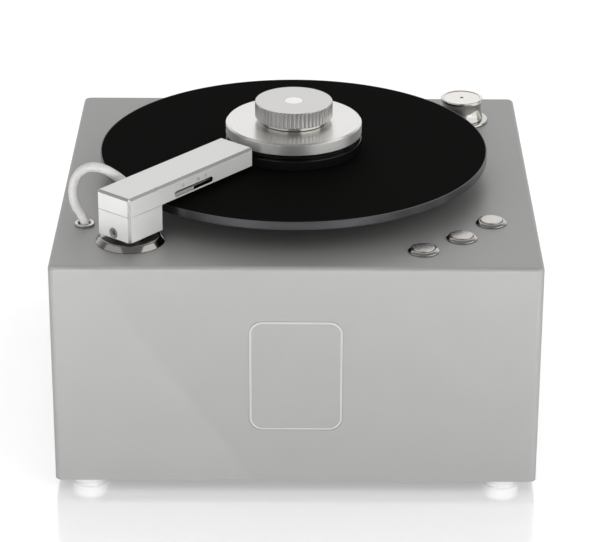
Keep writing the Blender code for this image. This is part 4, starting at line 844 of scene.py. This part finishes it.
class CLEANER_OT_case(bpy.types.Operator):
    """Makes the lacquered case with the openings of its deck and rear"""

    bl_idname = "cleaner.case"
    bl_label = "Case"

    def execute(self, context):
        group = settings("case")
        shell = slab("lacquered_case", CASE_LOW, CASE_HIGH)
        bevel_edges(shell, upright, group.corner, 10)
        bevel_edges(shell, lambda start, end: min(start.z, end.z) > DECK - TINY, group.edge, 6)
        wall = Vector((group.wall, group.wall, 0))
        # Cutting tools reach this far beyond the face that they cut
        through = 0.002
        room = slab(
            "case_room", CASE_LOW + wall - Vector((0, 0, 0.01)), CASE_HIGH - wall - Vector((0, 0, group.deck))
        )
        bevel_edges(room, upright, group.corner - group.wall, 4)
        low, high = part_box("rear_panel")
        lap = 0.005
        window = slab(
            "window", (low.x + lap, CASE_HIGH.y - group.wall - through, low.z + lap),
            (high.x - lap, CASE_HIGH.y + through, high.z - lap),
        )
        tools = [room, window]
        holes = [
            ("bearing_housing", 0.0298), ("arm_flange", 0.0153), ("hose_grommet", 0.0055),
            ("filler_ring", 0.0160), *((f"button_bezel_{side}", 0.0095) for side in SIDES),
        ]
        for node, radius in holes:
            tools.append(drum("hole", on_deck(node), radius, -0.01, through))
        badge_low, badge_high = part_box("badge_plate")
        gap = Vector((SEAT, 0, SEAT))
        pocket = slab(
            "badge_pocket", Vector((badge_low.x, CASE_LOW.y - through, badge_low.z)) - gap,
            Vector((badge_high.x, badge_high.y + SEAT, badge_high.z)) + gap,
        )
        bevel_edges(pocket, fore_and_aft, group.badge_corner, 10)
        cut(shell, *tools, pocket)
        dress(shell, silver_lacquer(), "chassis", "case_grey", "case_shell")
        return {"FINISHED"}


class CLEANER_OT_badge(bpy.types.Operator):
    """Makes the bare badge field with its bright rim on the front"""

    bl_idname = "cleaner.badge"
    bl_label = "Badge field"

    def execute(self, context):
        group = settings("case")
        low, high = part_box("badge_plate")
        plate = slab("badge_field", low, high)
        bevel_edges(plate, fore_and_aft, group.badge_corner, 10)
        pick(plate, "FACE", lambda face: face.normal.y < -0.9)
        bpy.ops.mesh.inset(thickness=group.rim, depth=0)
        bpy.ops.mesh.inset(thickness=group.rim_proud, depth=-group.rim_proud)
        bpy.ops.object.mode_set(mode="OBJECT")
        dress(plate, silver_lacquer(), "chassis", "case_grey", "badge_plate")
        plate.data.materials.append(cut_rim())
        for face in plate.data.polygons:
            at = face.center
            near_edge = min(
                abs(at.x - low.x), abs(at.x - high.x), abs(at.z - low.z), abs(at.z - high.z)
            )
            if face.normal.y < -0.9 and at.y < low.y + TINY and near_edge < group.badge_corner:
                face.material_index = 1
        return {"FINISHED"}


class CLEANER_OT_feet(bpy.types.Operator):
    """Makes the four rubber feet"""

    bl_idname = "cleaner.feet"
    bl_label = "Feet"

    def execute(self, context):
        first = None
        for node in ("foot_front_left", "foot_front_right", "foot_rear_left", "foot_rear_right"):
            low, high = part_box(node)
            at = Vector((*((low + high) / 2)[:2], 0))
            radius, top = (high.x - low.x) / 2, high.z
            if first is None:
                first_at = at
                foot = first = turned(f"rubber_{node}", at, [
                    (radius - 0.0030, 0.0004), (radius - 0.0028, 0), (radius - 0.0010, 0),
                    (radius - 0.0003, 0.0003), (radius, 0.0010), (radius, 0.0035),
                    (radius - 0.0005, 0.0040), (radius - 0.0005, 0.0048), (radius, 0.0053),
                    (radius, top - 0.0004), (radius - 0.0004, top),
                ], 96)
            else:
                foot = copied(first, Matrix.Translation(at - first_at))
                foot.name = f"rubber_{node}"
            dress(foot, foot_rubber(), "chassis", "light_grey_rubber", node)
        return {"FINISHED"}


class CLEANER_OT_rear(bpy.types.Operator):
    """Finishes the rear panel, mains inlet, switch and drain, and makes the panel's screws"""

    bl_idname = "cleaner.rear"
    bl_label = "Rear panel"

    def execute(self, context):
        textured = moulded("textured_black_abs", "#26262A", 0.50, 0.0006)
        refinish(textured, "rear_panel", "power_inlet", "drain_spout", "drain_cap")
        refinish(moulded("glossy_black_abs", "#141416", 0.20, 0.002, 0.000004), "power_rocker")
        low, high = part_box("rear_panel")
        inset, first = 0.0055, None
        for x in (low.x + inset, high.x - inset):
            for z in (low.z + inset, high.z - inset):
                at = Matrix.Translation((x, high.y, z)) @ Matrix.Rotation(math.radians(-90), 4, "X")
                if first is None:
                    screw = first = turned("panel_screw", (0, 0, 0), [
                        (0.0028, -0.0004), (0.0028, 0.0005), (0.0024, 0.0009), (0.0014, 0.0011),
                        (0.0004, 0.0012),
                    ], 48)
                    arm, slot, depth = 0.0015, 0.00035, (0.0004, 0.003)
                    cut(
                        screw, slab("slot_one", (-arm, -slot, depth[0]), (arm, slot, depth[1])),
                        slab("slot_two", (-slot, -arm, depth[0]), (slot, arm, depth[1])),
                    )
                    first_at = at
                    turn_about(screw, at)
                else:
                    screw = copied(first, at @ first_at.inverted())
                dress(screw, bare_steel(), "chassis", "steel")
        return {"FINISHED"}


class CLEANER_OT_platter(bpy.types.Operator):
    """Makes the turned platter and its mat"""

    bl_idname = "cleaner.platter"
    bl_label = "Platter"

    def execute(self, context):
        group = settings("platter")
        radius, under, top = round_box("platter")
        mat_radius, mat_under, mat_top = round_box("platter_mat")
        bore, floor, rim = 0.0123, mat_under - SEAT, radius - group.rim
        disc = turned("turned_platter", PLATTER_AT, [
            (bore, under), (radius - 0.030, under), (radius - group.chamfer, under),
            (radius, under + group.chamfer), (radius, top - 0.00015), (radius - 0.00015, top), (rim, top),
            (rim, floor), (bore, floor), (bore, under),
        ], 256)
        finish = turned_metal("dark_turned_aluminium", PLATTER_AT, group.metal, 0.32, 0.0008)
        dress(disc, finish, "platter_group", "turned_aluminium", "platter")
        hole, round_off = SPINDLE_HOLE, 0.0003
        mat = turned("rubber_mat", PLATTER_AT, [
            (hole, mat_under), (mat_radius, mat_under), (mat_radius, mat_top - round_off),
            (mat_radius - round_off, mat_top), (hole + round_off, mat_top), (hole, mat_top - round_off),
            (hole, mat_under),
        ], 256)
        dress(mat, mat_rubber(), "platter_group", "black_mat", "platter_mat")
        return {"FINISHED"}


class CLEANER_OT_clamp(bpy.types.Operator):
    """Makes the two discs of the record clamp"""

    bl_idname = "cleaner.clamp"
    bl_label = "Clamp"

    def execute(self, context):
        group = settings("clamp")
        radius, under, top = round_box("clamp_seal")
        inner = 0.0173
        seal = turned("acrylic_seal_disc", PLATTER_AT, [
            (inner, under), (radius - 0.0008, under), (radius - 0.0002, under + 0.0003),
            (radius, under + 0.0009), (radius, top - 0.0009), (radius - 0.0002, top - 0.0003),
            (radius - 0.0008, top), (inner, top), (inner, under),
        ], 192)
        dress(seal, black_acrylic(), "clamp", "black_gloss", "clamp_seal")

        wide, _, crown = round_box("clamp_disc")
        disc_low, neck, hub = crown - 0.0091, wide - 0.0033, 0.017
        edge, bore, pit = group.edge, SPINDLE_HOLE, 0.0083
        pit_floor = crown - 0.0053
        disc = turned("turned_clamp_disc", PLATTER_AT, [
            (bore, under), (hub, under), (hub, top + SEAT), (neck, top + SEAT), (neck, disc_low),
            (wide - 0.0002, disc_low), (wide, disc_low + 0.0002), (wide, crown - edge), (wide - edge, crown),
            (pit, crown), (pit, pit_floor), (bore, pit_floor), (bore, under),
        ], 192)
        soften(disc, 0.00012)
        finish = turned_metal("satin_clamp_aluminium", PLATTER_AT, group.metal, 0.24, 0.0006, 0.5)
        dress(disc, finish, "clamp", "turned_aluminium", "clamp_disc")
        disc.data.materials.append(
            turned_metal("turned_clamp_edge", PLATTER_AT, group.metal, 0.42, 0.0006, 0.8)
        )
        disc.data.materials.append(cut_edge("cut_disc_edge", group.metal))
        # The groove below the disc takes the black acrylic: painted shade under the disc's overhang, so that
        # the disc seems to float
        disc.data.materials.append(black_acrylic())
        for face in disc.data.polygons:
            out = (face.center - PLATTER_AT).xy.length
            rise = face.center.z - DECK
            if rise < disc_low + TINY and out > hub + TINY:
                face.material_index = 3
            elif 0.3 < face.normal.z < 0.95 and out > pit + edge:
                face.material_index = 2
            elif abs(face.normal.z) < 0.3:
                face.material_index = 1
        return {"FINISHED"}


class CLEANER_OT_knob(bpy.types.Operator):
    """Makes the clamp's fluted knob, its collar and its white insert"""

    bl_idname = "cleaner.knob"
    bl_label = "Knob"

    def execute(self, context):
        group = settings("clamp")
        radius, shank_low, top = round_box("clamp_knob")
        drum_low, edge, land = top - 0.0122, 0.0006, 0.0011
        per_flute = 8
        profile = [
            (radius - edge, drum_low), (radius, drum_low + edge), (radius, top - land), (radius, top - edge),
            (radius - edge, top),
        ]
        knob = turned("fluted_knob", PLATTER_AT, profile, group.flutes * per_flute)
        # Each flute is a lobe between two narrow valleys
        only(knob)
        bpy.ops.object.mode_set(mode="EDIT")
        bpy.ops.mesh.select_mode(type="VERT")
        for place in range(1, per_flute // 2 + 1):
            bpy.ops.mesh.select_all(action="DESELECT")
            shape = bmesh.from_edit_mesh(knob.data)
            for corner in shape.verts:
                out = corner.co - PLATTER_AT
                turn = math.atan2(out.y, out.x) / math.tau * group.flutes
                step = round(abs(turn - round(turn)) * per_flute)
                plain = out.xy.length < radius - edge / 2 or out.z - DECK > top - (land + edge) / 2
                corner.select_set(step == place and not plain)
            bmesh.update_edit_mesh(knob.data)
            depth = group.flute_depth * (place / (per_flute / 2)) ** 3
            share = 1 - depth / radius
            bpy.ops.transform.resize(value=(share, share, 1), center_override=PLATTER_AT)
        bpy.ops.object.mode_set(mode="OBJECT")
        spot, spot_low, _ = round_box("knob_insert")
        bore = SPINDLE_HOLE
        cut(knob, drum("spindle_bore", PLATTER_AT, bore, 0.03, top - 0.0060))
        cut(knob, drum("spot_recess", PLATTER_AT, spot + 0.0001, spot_low - SEAT, top + 0.002))
        blasted = dimmed(group.metal, 0.92)
        finish = turned_metal("satin_knob_aluminium", PLATTER_AT, blasted, 0.40, 0.0006, 0.0)
        dress(knob, finish, "knob", "turned_aluminium", "clamp_knob")
        # The flutes and the top edge take darker copies of the knob's aluminium: painted shade on its side
        # and edge
        knob.data.materials.append(
            turned_metal("knob_flutes_painted_shade", PLATTER_AT, dimmed(group.metal, 0.74), 0.30, 0.0006, 0.0)
        )
        knob.data.materials.append(cut_edge("knob_edge_painted_shade", dimmed(group.metal, 0.8)))
        for face in knob.data.polygons:
            if (face.center - PLATTER_AT).xy.length > radius - 0.002 and abs(face.normal.z) < 0.95:
                face.material_index = 2 if face.normal.z > 0.3 else 1

        seat, shank, wide = round_box("clamp_disc")[2] + SEAT, 0.0080, 0.0255
        collar = turned("polished_collar", PLATTER_AT, [
            (bore, shank_low), (shank, shank_low), (shank, seat), (wide - 0.0002, seat),
            (wide, seat + 0.0002), (wide, drum_low), (bore, drum_low), (bore, shank_low),
        ], 128)
        dress(collar, polished_steel(), "knob", "polished_steel")

        insert = turned("white_spot", PLATTER_AT, [
            (spot, spot_low), (spot, top - 0.0003), (spot - 0.0002, top - 0.00008),
            (spot * 0.6, top - 0.00002), (spot * 0.2, top),
        ], 96)
        dress(insert, white_acetal(), "knob", "white_plastic", "knob_insert")
        return {"FINISHED"}


class CLEANER_OT_arm_base(bpy.types.Operator):
    """Makes the polished cone below the arm"""

    bl_idname = "cleaner.arm_base"
    bl_label = "Arm base"

    def execute(self, context):
        radius, _, top = round_box("arm_flange")
        bore, shoulder = 0.0115, radius - 0.0037
        cone = turned("polished_arm_cone", ARM_AT, [
            (bore, SEAT), (radius - 0.0001, SEAT), (radius, SEAT + 0.0001),
            (shoulder + 0.0008, top - 0.0006), (shoulder, top - 0.0001), (shoulder - 0.0006, top),
            (bore + 0.0006, top), (bore, top - 0.0006), (bore, SEAT),
        ], 128)
        # The cone takes a darker copy of the polished steel: painted dark reflection
        dress(cone, polished_steel("arm_steel_painted_dark_reflection", 0.55), "chassis", "polished_steel", "arm_flange")
        refinish(polished_steel(), "arm_column")
        return {"FINISHED"}


# Half the arm's width; along the arm its two ends and the front of its block, and the slot's two ends and
# half its height
ARM_HALF, ARM_REAR, ARM_REACH, BLOCK_FRONT = 0.01615, -0.01725, 0.1162, 0.01845
SLOT_START, SLOT_END, SLOT_HALF = 0.0300, 0.0710, 0.0021


def arm_bar(name, end, low, high, chamfer, top_chamfer):
    """A bar along the arm with flat chamfers on its upright edges, and on its top ones if asked."""
    bar = slab(name, (ARM_REAR, -ARM_HALF, low), (end, ARM_HALF, high))

    def chosen(one, other):
        return upright(one, other) or (top_chamfer and min(one.z, other.z) > high - TINY)

    return bevel_edges(bar, chosen, chamfer)


def is_chamfer(face, low, high):
    """Whether a face of a bar along the arm is one of its chamfers, leaning half way between two sides."""
    leaning = sorted(abs(part) for part in face.normal)[1] > 0.6
    outside = max(abs(face.center.y) - ARM_HALF, face.center.z - high, low - face.center.z) > -0.002
    return leaning and outside


def arm_finishes(metal):
    """What the arm's faces and its chamfers are made of; the chamfers' colour is dimmed to two thirds,
    painted shade.
    """
    return satin_aluminium(), cut_edge("cut_arm_edge_painted_shade", dimmed(metal, 0.66))


def screw_place():
    """Where the set screw goes into the rear of the arm's block, facing out of it."""
    rise = rises("arm_block")[0] + 0.0041
    return Matrix.Translation((ARM_REAR, 0, rise)) @ Matrix.Rotation(math.radians(90), 4, "Y")


def make_block(group):
    """The square block below the arm, bored for the column and the set screw."""
    low, high = rises("arm_block")
    tower = arm_bar("milled_arm_block", BLOCK_FRONT, low, high, group.chamfer, False)
    cut(tower, drum("column_bore", (0, 0, 0), 0.0103, low - 0.002, high - 0.0041))
    cut(tower, turn_about(drum("screw_bore", (0, 0, 0), 0.0040, -0.003, 0.012), screw_place()))
    soften(tower, 0.0002)
    give(tower, *arm_finishes(group.metal))
    for face in tower.data.polygons:
        if is_chamfer(face, low, high):
            face.material_index = 1
    turn_about(tower, ARM)
    dress(tower, None, "arm", "turned_aluminium", "arm_block")


def make_beam(group):
    """The hollow beam, with the slot in its side."""
    low, high = rises("arm_beam")
    rise = group.slot_rise
    beam = arm_bar("milled_arm_beam", ARM_REACH, low, high, group.chamfer, True)
    slot = slab(
        "side_slot", (SLOT_START, -ARM_HALF - 0.003, rise - SLOT_HALF), (SLOT_END, -0.006, rise + SLOT_HALF)
    )
    bevel_edges(slot, fore_and_aft, SLOT_HALF - 0.0001, 8)
    # Half the widths of the air channel along the underside and of the recess for the suction plate
    channel_half, plate_half = 0.009, 0.0113
    under = low - 0.003
    channel = slab("channel", (0.002, -channel_half, under), (ARM_REACH - 0.005, channel_half, low + 0.010))
    recess = slab(
        "plate_recess", (-0.0003, -plate_half, under), (ARM_REACH - 0.0027, plate_half, low + 0.0015)
    )
    # Behind a wall of 3 mm the slot opens into a wider pocket; its faces and the slot's mouth take black
    # rubber, painted shade inside the slot
    pocket_low = Vector((SLOT_START - 0.002, -ARM_HALF + 0.003, low + 0.0010))
    pocket_high = Vector((SLOT_END + 0.002, -0.0085, rise + 0.004))
    cut(beam, channel, recess, slot, slab("slot_pocket", pocket_low, pocket_high))
    cut(beam, turn_about(drum("barb_bore", (0, 0, 0), 0.0029, -0.0085, 0.006), BARB))
    soften(beam, 0.0002)
    give(beam, *arm_finishes(group.metal), mat_rubber())
    for face in beam.data.polygons:
        at = face.center
        in_pocket = all(pocket_low[i] - TINY < at[i] < pocket_high[i] + TINY for i in range(3))
        beside_channel = abs(at.y) > channel_half + 0.0001
        in_mouth = (
            SLOT_START - TINY < at.x < SLOT_END + TINY and abs(at.z - rise) < SLOT_HALF + TINY
            and -ARM_HALF + 0.0004 < at.y < 0
        )
        # Painted shade: the pocket's and the mouth's faces take the black rubber
        if beside_channel and (in_pocket or in_mouth):
            face.material_index = 2
        elif is_chamfer(face, low, high):
            face.material_index = 1
    turn_about(beam, ARM)
    dress(beam, None, "arm", "turned_aluminium", "arm_beam")


def make_set_screw():
    """The set screw with its hex socket, in the rear of the block."""
    screw = turned("set_screw", (0, 0, 0), [
        (0.0037, 0.0100), (0.0037, 0.0005), (0.0035, 0.0002), (0.0023, 0.0002), (0.0021, 0.0004),
    ], 64)
    cut(screw, drum("hex_socket", (0, 0, 0), 0.0019, -0.002, 0.0030, 6))
    turn_about(screw, ARM @ screw_place())
    dress(screw, polished_steel(), "arm", "steel", "arm_set_screw")


def make_slider(group):
    """The slider in the slot, and a black strip behind the slot that paints shade into it."""
    rise = group.slot_rise
    slider = slab(
        "size_slider_bar", (0.0303, -ARM_HALF + 0.0001, rise - SLOT_HALF + 0.0002),
        (0.0507, -0.0095, rise + SLOT_HALF - 0.0014),
    )
    bevel_edges(slider, fore_and_aft, 0.0012, 8)
    soften(slider, 0.00012, angle=60)
    turn_about(slider, ARM)
    finish = satin_aluminium("satin_slider_aluminium", 0.55)
    dress(slider, finish, "slider", "polished_steel", "size_slider")

    # The black strip is painted shade in the slot's depth
    strip = slab(
        "slot_painted_shade_strip", (SLOT_START - 0.0020, -0.0088, rises("arm_beam")[0] + 0.0015),
        (SLOT_END + 0.0020, -0.0078, rise + 0.0034),
    )
    soften(strip, 0.0002)
    turn_about(strip, ARM)
    dress(strip, mat_rubber(), "arm", "black_mat")


def make_mark(words, along):
    """A size mark above the slot, at a place along the arm."""
    bpy.ops.object.select_all(action="DESELECT")
    bpy.ops.object.text_add()
    writing = bpy.context.object.data
    writing.body = words
    writing.size = 0.0032
    writing.extrude = 0.00004
    writing.align_x = "CENTER"
    bpy.ops.object.convert(target="MESH")
    mark = bpy.context.object
    mark.name = f"size_mark_{words}"
    face = Matrix.Translation((along, -ARM_HALF, 0.0336)) @ Matrix.Rotation(math.radians(90), 4, "X")
    turn_about(mark, ARM @ face)
    dress(mark, mark_ink(), "arm", "black_plastic")


class CLEANER_OT_arm(bpy.types.Operator):
    """Makes the suction arm: its block, beam, slot, slider, marks, set screw and barb"""

    bl_idname = "cleaner.arm"
    bl_label = "Arm"

    def execute(self, context):
        group = settings("arm")
        make_block(group)
        make_beam(group)
        make_set_screw()
        make_slider(group)
        for words, along in (("12", 0.0388), ("10", 0.0550), ("7", 0.0632)):
            make_mark(words, along)
        barb = turned("hose_barb_nipple", (0, 0, 0), [
            (0.0016, -0.0082), (0.0026, -0.0082), (0.0026, 0.0003), (0.0042, 0.0003), (0.0042, 0.0011),
            (0.0021, 0.0011), (0.0021, 0.0062), (0.0016, 0.0062), (0.0016, -0.0082),
        ], 64)
        turn_about(barb, ARM @ BARB)
        dress(barb, polished_steel(), "arm", "polished_steel", "hose_barb")
        refinish(satin_aluminium(), "suction_plate")
        refinish(felt_pile(), "suction_lip_left", "suction_lip_right")
        return {"FINISHED"}


class CLEANER_OT_buttons(bpy.types.Operator):
    """Makes the three push buttons with their bezels"""

    bl_idname = "cleaner.buttons"
    bl_label = "Buttons"

    def execute(self, context):
        group = settings("controls")
        for side in SIDES:
            bezel_node, cap_node = f"button_bezel_{side}", f"button_cap_{side}"
            at = on_deck(bezel_node)
            radius, under, top = round_box(bezel_node)
            bore, barrel, floor = 0.0083, 0.0092, under + 0.003
            bezel = turned(f"steel_bezel_{side}", at, [
                (barrel, under), (barrel, SEAT), (radius - 0.0001, SEAT), (radius, 0.0005), (radius, 0.0008),
                (radius - 0.0003, 0.0012), (radius - 0.0016, top - 0.0002), (radius - 0.0020, top),
                (bore + 0.0003, top), (bore, top - 0.0003), (bore, floor),
            ], 96)
            # The bezels take a darker copy of the polished steel: painted dark reflection
            finish = polished_steel("bezel_steel_painted_dark_reflection", 0.8)
            dress(bezel, finish, "chassis", "polished_steel", bezel_node)

            radius, under, top = round_box(cap_node)
            rim, side_top = 0.0004, top - group.crown
            flat = radius - rim
            rounding = [
                (flat + rim * math.cos(turn), side_top - rim * (1 - math.sin(turn)))
                for turn in (0, 0.4, 0.8, 1.2)
            ]
            dome = [
                (flat * share, side_top + group.crown * (1 - share**2))
                for share in (0.98, 0.75, 0.5, 0.25, 0.05)
            ]
            cap = turned(f"steel_button_{side}", at, [(radius, under), *rounding, *dome], 96)
            dress(cap, brushed_steel(), f"button_{side}", "polished_steel", cap_node)
        return {"FINISHED"}


class CLEANER_OT_filler(bpy.types.Operator):
    """Makes the filler ring and the cap of the waste tank"""

    bl_idname = "cleaner.filler"
    bl_label = "Filler cap"

    def execute(self, context):
        at = on_deck("filler_ring")
        radius, under, top = round_box("filler_ring")
        bore, neck = 0.0124, 0.0157
        ring = turned("polished_filler_ring", at, [
            (bore, under), (neck, under), (neck, SEAT), (radius - 0.0002, SEAT), (radius, 0.0005),
            (radius, top - 0.0010), (radius - 0.0003, top - 0.0003), (radius - 0.0010, top), (bore, top),
            (bore, under),
        ], 128)
        dress(ring, polished_steel(), "chassis", "polished_steel", "filler_ring")

        _, under, crown = round_box("tank_cap")
        seat, stem, skirt, waist, lip = top + SEAT, 0.0121, 0.0170, 0.0152, 0.0165
        steps = 14
        waist_low, waist_high = seat + 0.0010, crown - 0.0026
        sides = []
        for i in range(steps + 1):
            share = i / steps
            wide = waist + (skirt - waist) * (1 - share) ** 3 + (lip - waist) * share**6
            sides.append((wide, waist_low + (waist_high - waist_low) * share))
        cap = turned("polished_tank_cap", at, [
            (stem, under), (stem, seat), (skirt - 0.0001, seat), (skirt, seat + 0.0002), *sides,
            (lip + 0.0001, crown - 0.0022), (lip + 0.0001, crown - 0.0008), (lip - 0.0002, crown - 0.0003),
            (lip - 0.0008, crown), (lip - 0.0020, crown), (lip - 0.0026, crown - 0.0004),
            (0.0015, crown - 0.0004), (0.0011, crown - 0.0007), (0.0011, crown - 0.0030),
        ], 128)
        # The side takes a darker copy of the polished nickel, painted shade, and the faced top a lighter copy
        # of the brushed nickel, a painted highlight; the top's brushed grain is real
        dress(cap, polished_steel("polished_nickel_plate_painted_shade", 0.85), "filler_plug", "polished_steel", "tank_cap")
        cap.data.materials.append(brushed_steel("brushed_nickel_plate_painted_highlight", 1.35))
        for face in cap.data.polygons:
            if face.normal.z > 0.9 and face.center.z - DECK > crown - 0.0006:
                face.material_index = 1
        return {"FINISHED"}


class CLEANER_OT_inside(bpy.types.Operator):
    """Finishes the pieces inside the case and below the platter"""

    bl_idname = "cleaner.inside"
    bl_label = "Inner pieces"

    def execute(self, context):
        metal = settings("clamp").metal
        refinish(
            bare_steel(), "base_plate", "upper_bearing", "lower_bearing", "platter_shaft", "gear_motor",
            "motor_bracket", "arm_thrust_collar", "arm_spring", "vacuum_motor", "transformer",
        )
        refinish(turned_brass(), "motor_pulley", "arm_guide_bush")
        for name, at, *nodes in (
            ("drive", PLATTER_AT, "bearing_housing", "drive_wheel"),
            ("column", ARM_AT, "arm_housing"),
            ("fan", middle_of("vacuum_impeller"), "vacuum_impeller"),
        ):
            refinish(turned_metal(f"turned_aluminium_{name}", at, metal, 0.34, 0.0008), *nodes)
        refinish(moulded("black_belt_rubber", "#1B1B1B", 0.70, 0.0005), "drive_belt")
        refinish(moulded("matt_black_abs", "#222224", 0.55, 0.0006), "vacuum_housing")
        refinish(moulded("natural_polythene", "#DADCDA", 0.40, 0.003, ior=1.51), "waste_tank", "tank_lid")
        refinish(line_silicone(), "suction_line", "vacuum_line")
        refinish(circuit_board(), "control_board")
        return {"FINISHED"}


def make_floor(group):
    """The pale floor, with a faint mirror image of the machine."""
    bpy.ops.object.select_all(action="DESELECT")
    bpy.ops.mesh.primitive_plane_add(size=30)
    floor = bpy.context.object
    floor.name = "floor"
    paper, shader = start_material("glossy_white_floor", Roughness=0.16, Metallic=0.35)
    # Back-painted white glass, which mirrors the machine faintly. It shines a little of itself to what
    # sees it straight or mirrored, so that it looks white in the low light
    own_light = 0.24
    lift = maths(paper, "MULTIPLY", seen_rays(paper)[1], own_light)
    haze = spread(paper, grain(paper, 0.05), 0, 1)
    connect(
        paper, shader, Emission_Strength=lift,
        Base_Color=shade_between(paper, haze, dimmed(group.floor, 0.995), group.floor),
    )
    shader.inputs["Emission Color"].default_value = (1, 1, 1, 1)
    give(floor, paper)


def make_lights(group):
    """The soft boxes and the narrow beams."""
    # Soft boxes at both sides light the machine; the one overhead is only a soft fill. Narrow beams
    # light the machine's front, and the floor before it, which the front mirrors. Shiny pieces don't
    # mirror the lights overhead and in front
    whole, front_beam, floor_beam = 180, 60, 40
    # Name, power, width, height, place, aim, beam in degrees, whether shiny pieces mirror it
    lamps = [
        ("top_light", group.top_power, 2.0, 1.6, (0.0, 0.4, 2.2), (0, 0, 0.15), whole, False),
        ("left_light", group.left_power, 3.0, 3.0, (-1.7, -1.1, 0.85), (0, 0, 0.12), whole, True),
        ("right_light", group.right_power, 3.0, 3.0, (1.8, -0.9, 0.85), (0, 0, 0.12), whole, True),
        ("front_light", group.front_power, 2.4, 0.5, (0, -2.4, 0.28), (0, 0, 0.12), front_beam, False),
        *(
            (f"floor_light_{side}", group.floor_power, 0.9, 0.6, (x, -0.95, 1.3), (x, -0.95, 0),
             floor_beam, True)
            for side, x in (("left", -0.7), ("right", 0.7))
        ),
    ]
    for name, power, wide, high, at, towards, beam, mirrored in lamps:
        bpy.ops.object.light_add(type="AREA", location=at)
        lamp = bpy.context.object
        lamp.name = name
        lamp.data.shape = "RECTANGLE"
        lamp.data.size = wide
        lamp.data.size_y = high
        lamp.data.energy = power
        lamp.data.spread = math.radians(beam)
        lamp.visible_glossy = mirrored
        lamp.rotation_euler = (Vector(towards) - Vector(at)).to_track_quat("-Z", "Y").to_euler()


def make_room(group):
    """What lights the machine evenly from all round, and what its shiny pieces mirror."""
    world = bpy.data.worlds.new("white_room")
    world.use_nodes = True
    bpy.context.scene.world = world
    path, seen = seen_rays(world)
    # Shiny pieces mirror a white backdrop behind the machine, and a dim room at its sides and overhead
    way = add_node(world, "ShaderNodeTexCoord").outputs["Generated"]
    back = vector_maths(world, "DOT_PRODUCT", way, (0, 1, 0), output="Value")
    dim = add_node(
        world, "ShaderNodeMapRange",
        {"Value": back, "From Min": 0.3, "From Max": 0.85, "To Min": group.shade, "To Max": 1.0},
        interpolation_type="SMOOTHSTEP",
    ).outputs["Result"]
    mirrored = add_node(
        world, "ShaderNodeMix", {"Factor": path.outputs["Is Camera Ray"], 2: dim, 3: 1.0}
    ).outputs[0]
    strength = add_node(
        world, "ShaderNodeMix", {"Factor": seen, 2: group.ambient, 3: mirrored}
    ).outputs[0]
    background = world.node_tree.nodes["Background"]
    background.inputs["Color"].default_value = (1, 1, 1, 1)
    world.node_tree.links.new(strength, background.inputs["Strength"])


class CLEANER_OT_stage(bpy.types.Operator):
    """Sets up the pale floor, the soft lights and the surroundings"""

    bl_idname = "cleaner.stage"
    bl_label = "Stage"

    def execute(self, context):
        group = settings("stage")
        make_floor(group)
        make_lights(group)
        make_room(group)
        context.scene.view_settings.view_transform = "Standard"
        return {"FINISHED"}


STEPS = (
    CLEANER_OT_camera, CLEANER_OT_hose, CLEANER_OT_case, CLEANER_OT_badge, CLEANER_OT_feet, CLEANER_OT_rear,
    CLEANER_OT_platter, CLEANER_OT_clamp, CLEANER_OT_knob, CLEANER_OT_arm_base, CLEANER_OT_arm,
    CLEANER_OT_buttons, CLEANER_OT_filler, CLEANER_OT_inside, CLEANER_OT_stage,
)
GROUPS = {
    "case": CaseSettings, "platter": PlatterSettings, "clamp": ClampSettings, "arm": ArmSettings,
    "hose": HoseSettings, "controls": ControlSettings, "stage": StageSettings,
}


class CLEANER_PT_pieces(bpy.types.Panel):
    """Lists the machine's settings and the steps that make its pieces"""

    bl_idname = "CLEANER_PT_pieces"
    bl_label = "Record Cleaning Machine"
    bl_space_type = "VIEW_3D"
    bl_region_type = "UI"
    bl_category = "Cleaner"

    def draw(self, context):
        for name, kind in GROUPS.items():
            box = self.layout.box()
            box.label(text=name.capitalize())
            for field in kind.__annotations__:
                box.prop(settings(name), field)
        for step in STEPS:
            self.layout.operator(step.bl_idname)


def register():
    for kind in (*GROUPS.values(), *STEPS, CLEANER_PT_pieces):
        bpy.utils.register_class(kind)
    for name, kind in GROUPS.items():
        setattr(bpy.types.Scene, f"cleaner_{name}", bpy.props.PointerProperty(type=kind))


def unregister():
    for name in GROUPS:
        delattr(bpy.types.Scene, f"cleaner_{name}")
    for kind in (CLEANER_PT_pieces, *reversed(STEPS), *reversed(GROUPS.values())):
        bpy.utils.unregister_class(kind)


def main():
    register()
    bpy.ops.cleaner.camera()
    bpy.ops.cleaner.hose()
    bpy.ops.cleaner.case()
    bpy.ops.cleaner.badge()
    bpy.ops.cleaner.feet()
    bpy.ops.cleaner.rear()
    bpy.ops.cleaner.platter()
    bpy.ops.cleaner.clamp()
    bpy.ops.cleaner.knob()
    bpy.ops.cleaner.arm_base()
    bpy.ops.cleaner.arm()
    bpy.ops.cleaner.buttons()
    bpy.ops.cleaner.filler()
    bpy.ops.cleaner.inside()
    bpy.ops.cleaner.stage()


if __name__ == "__main__":
    main()
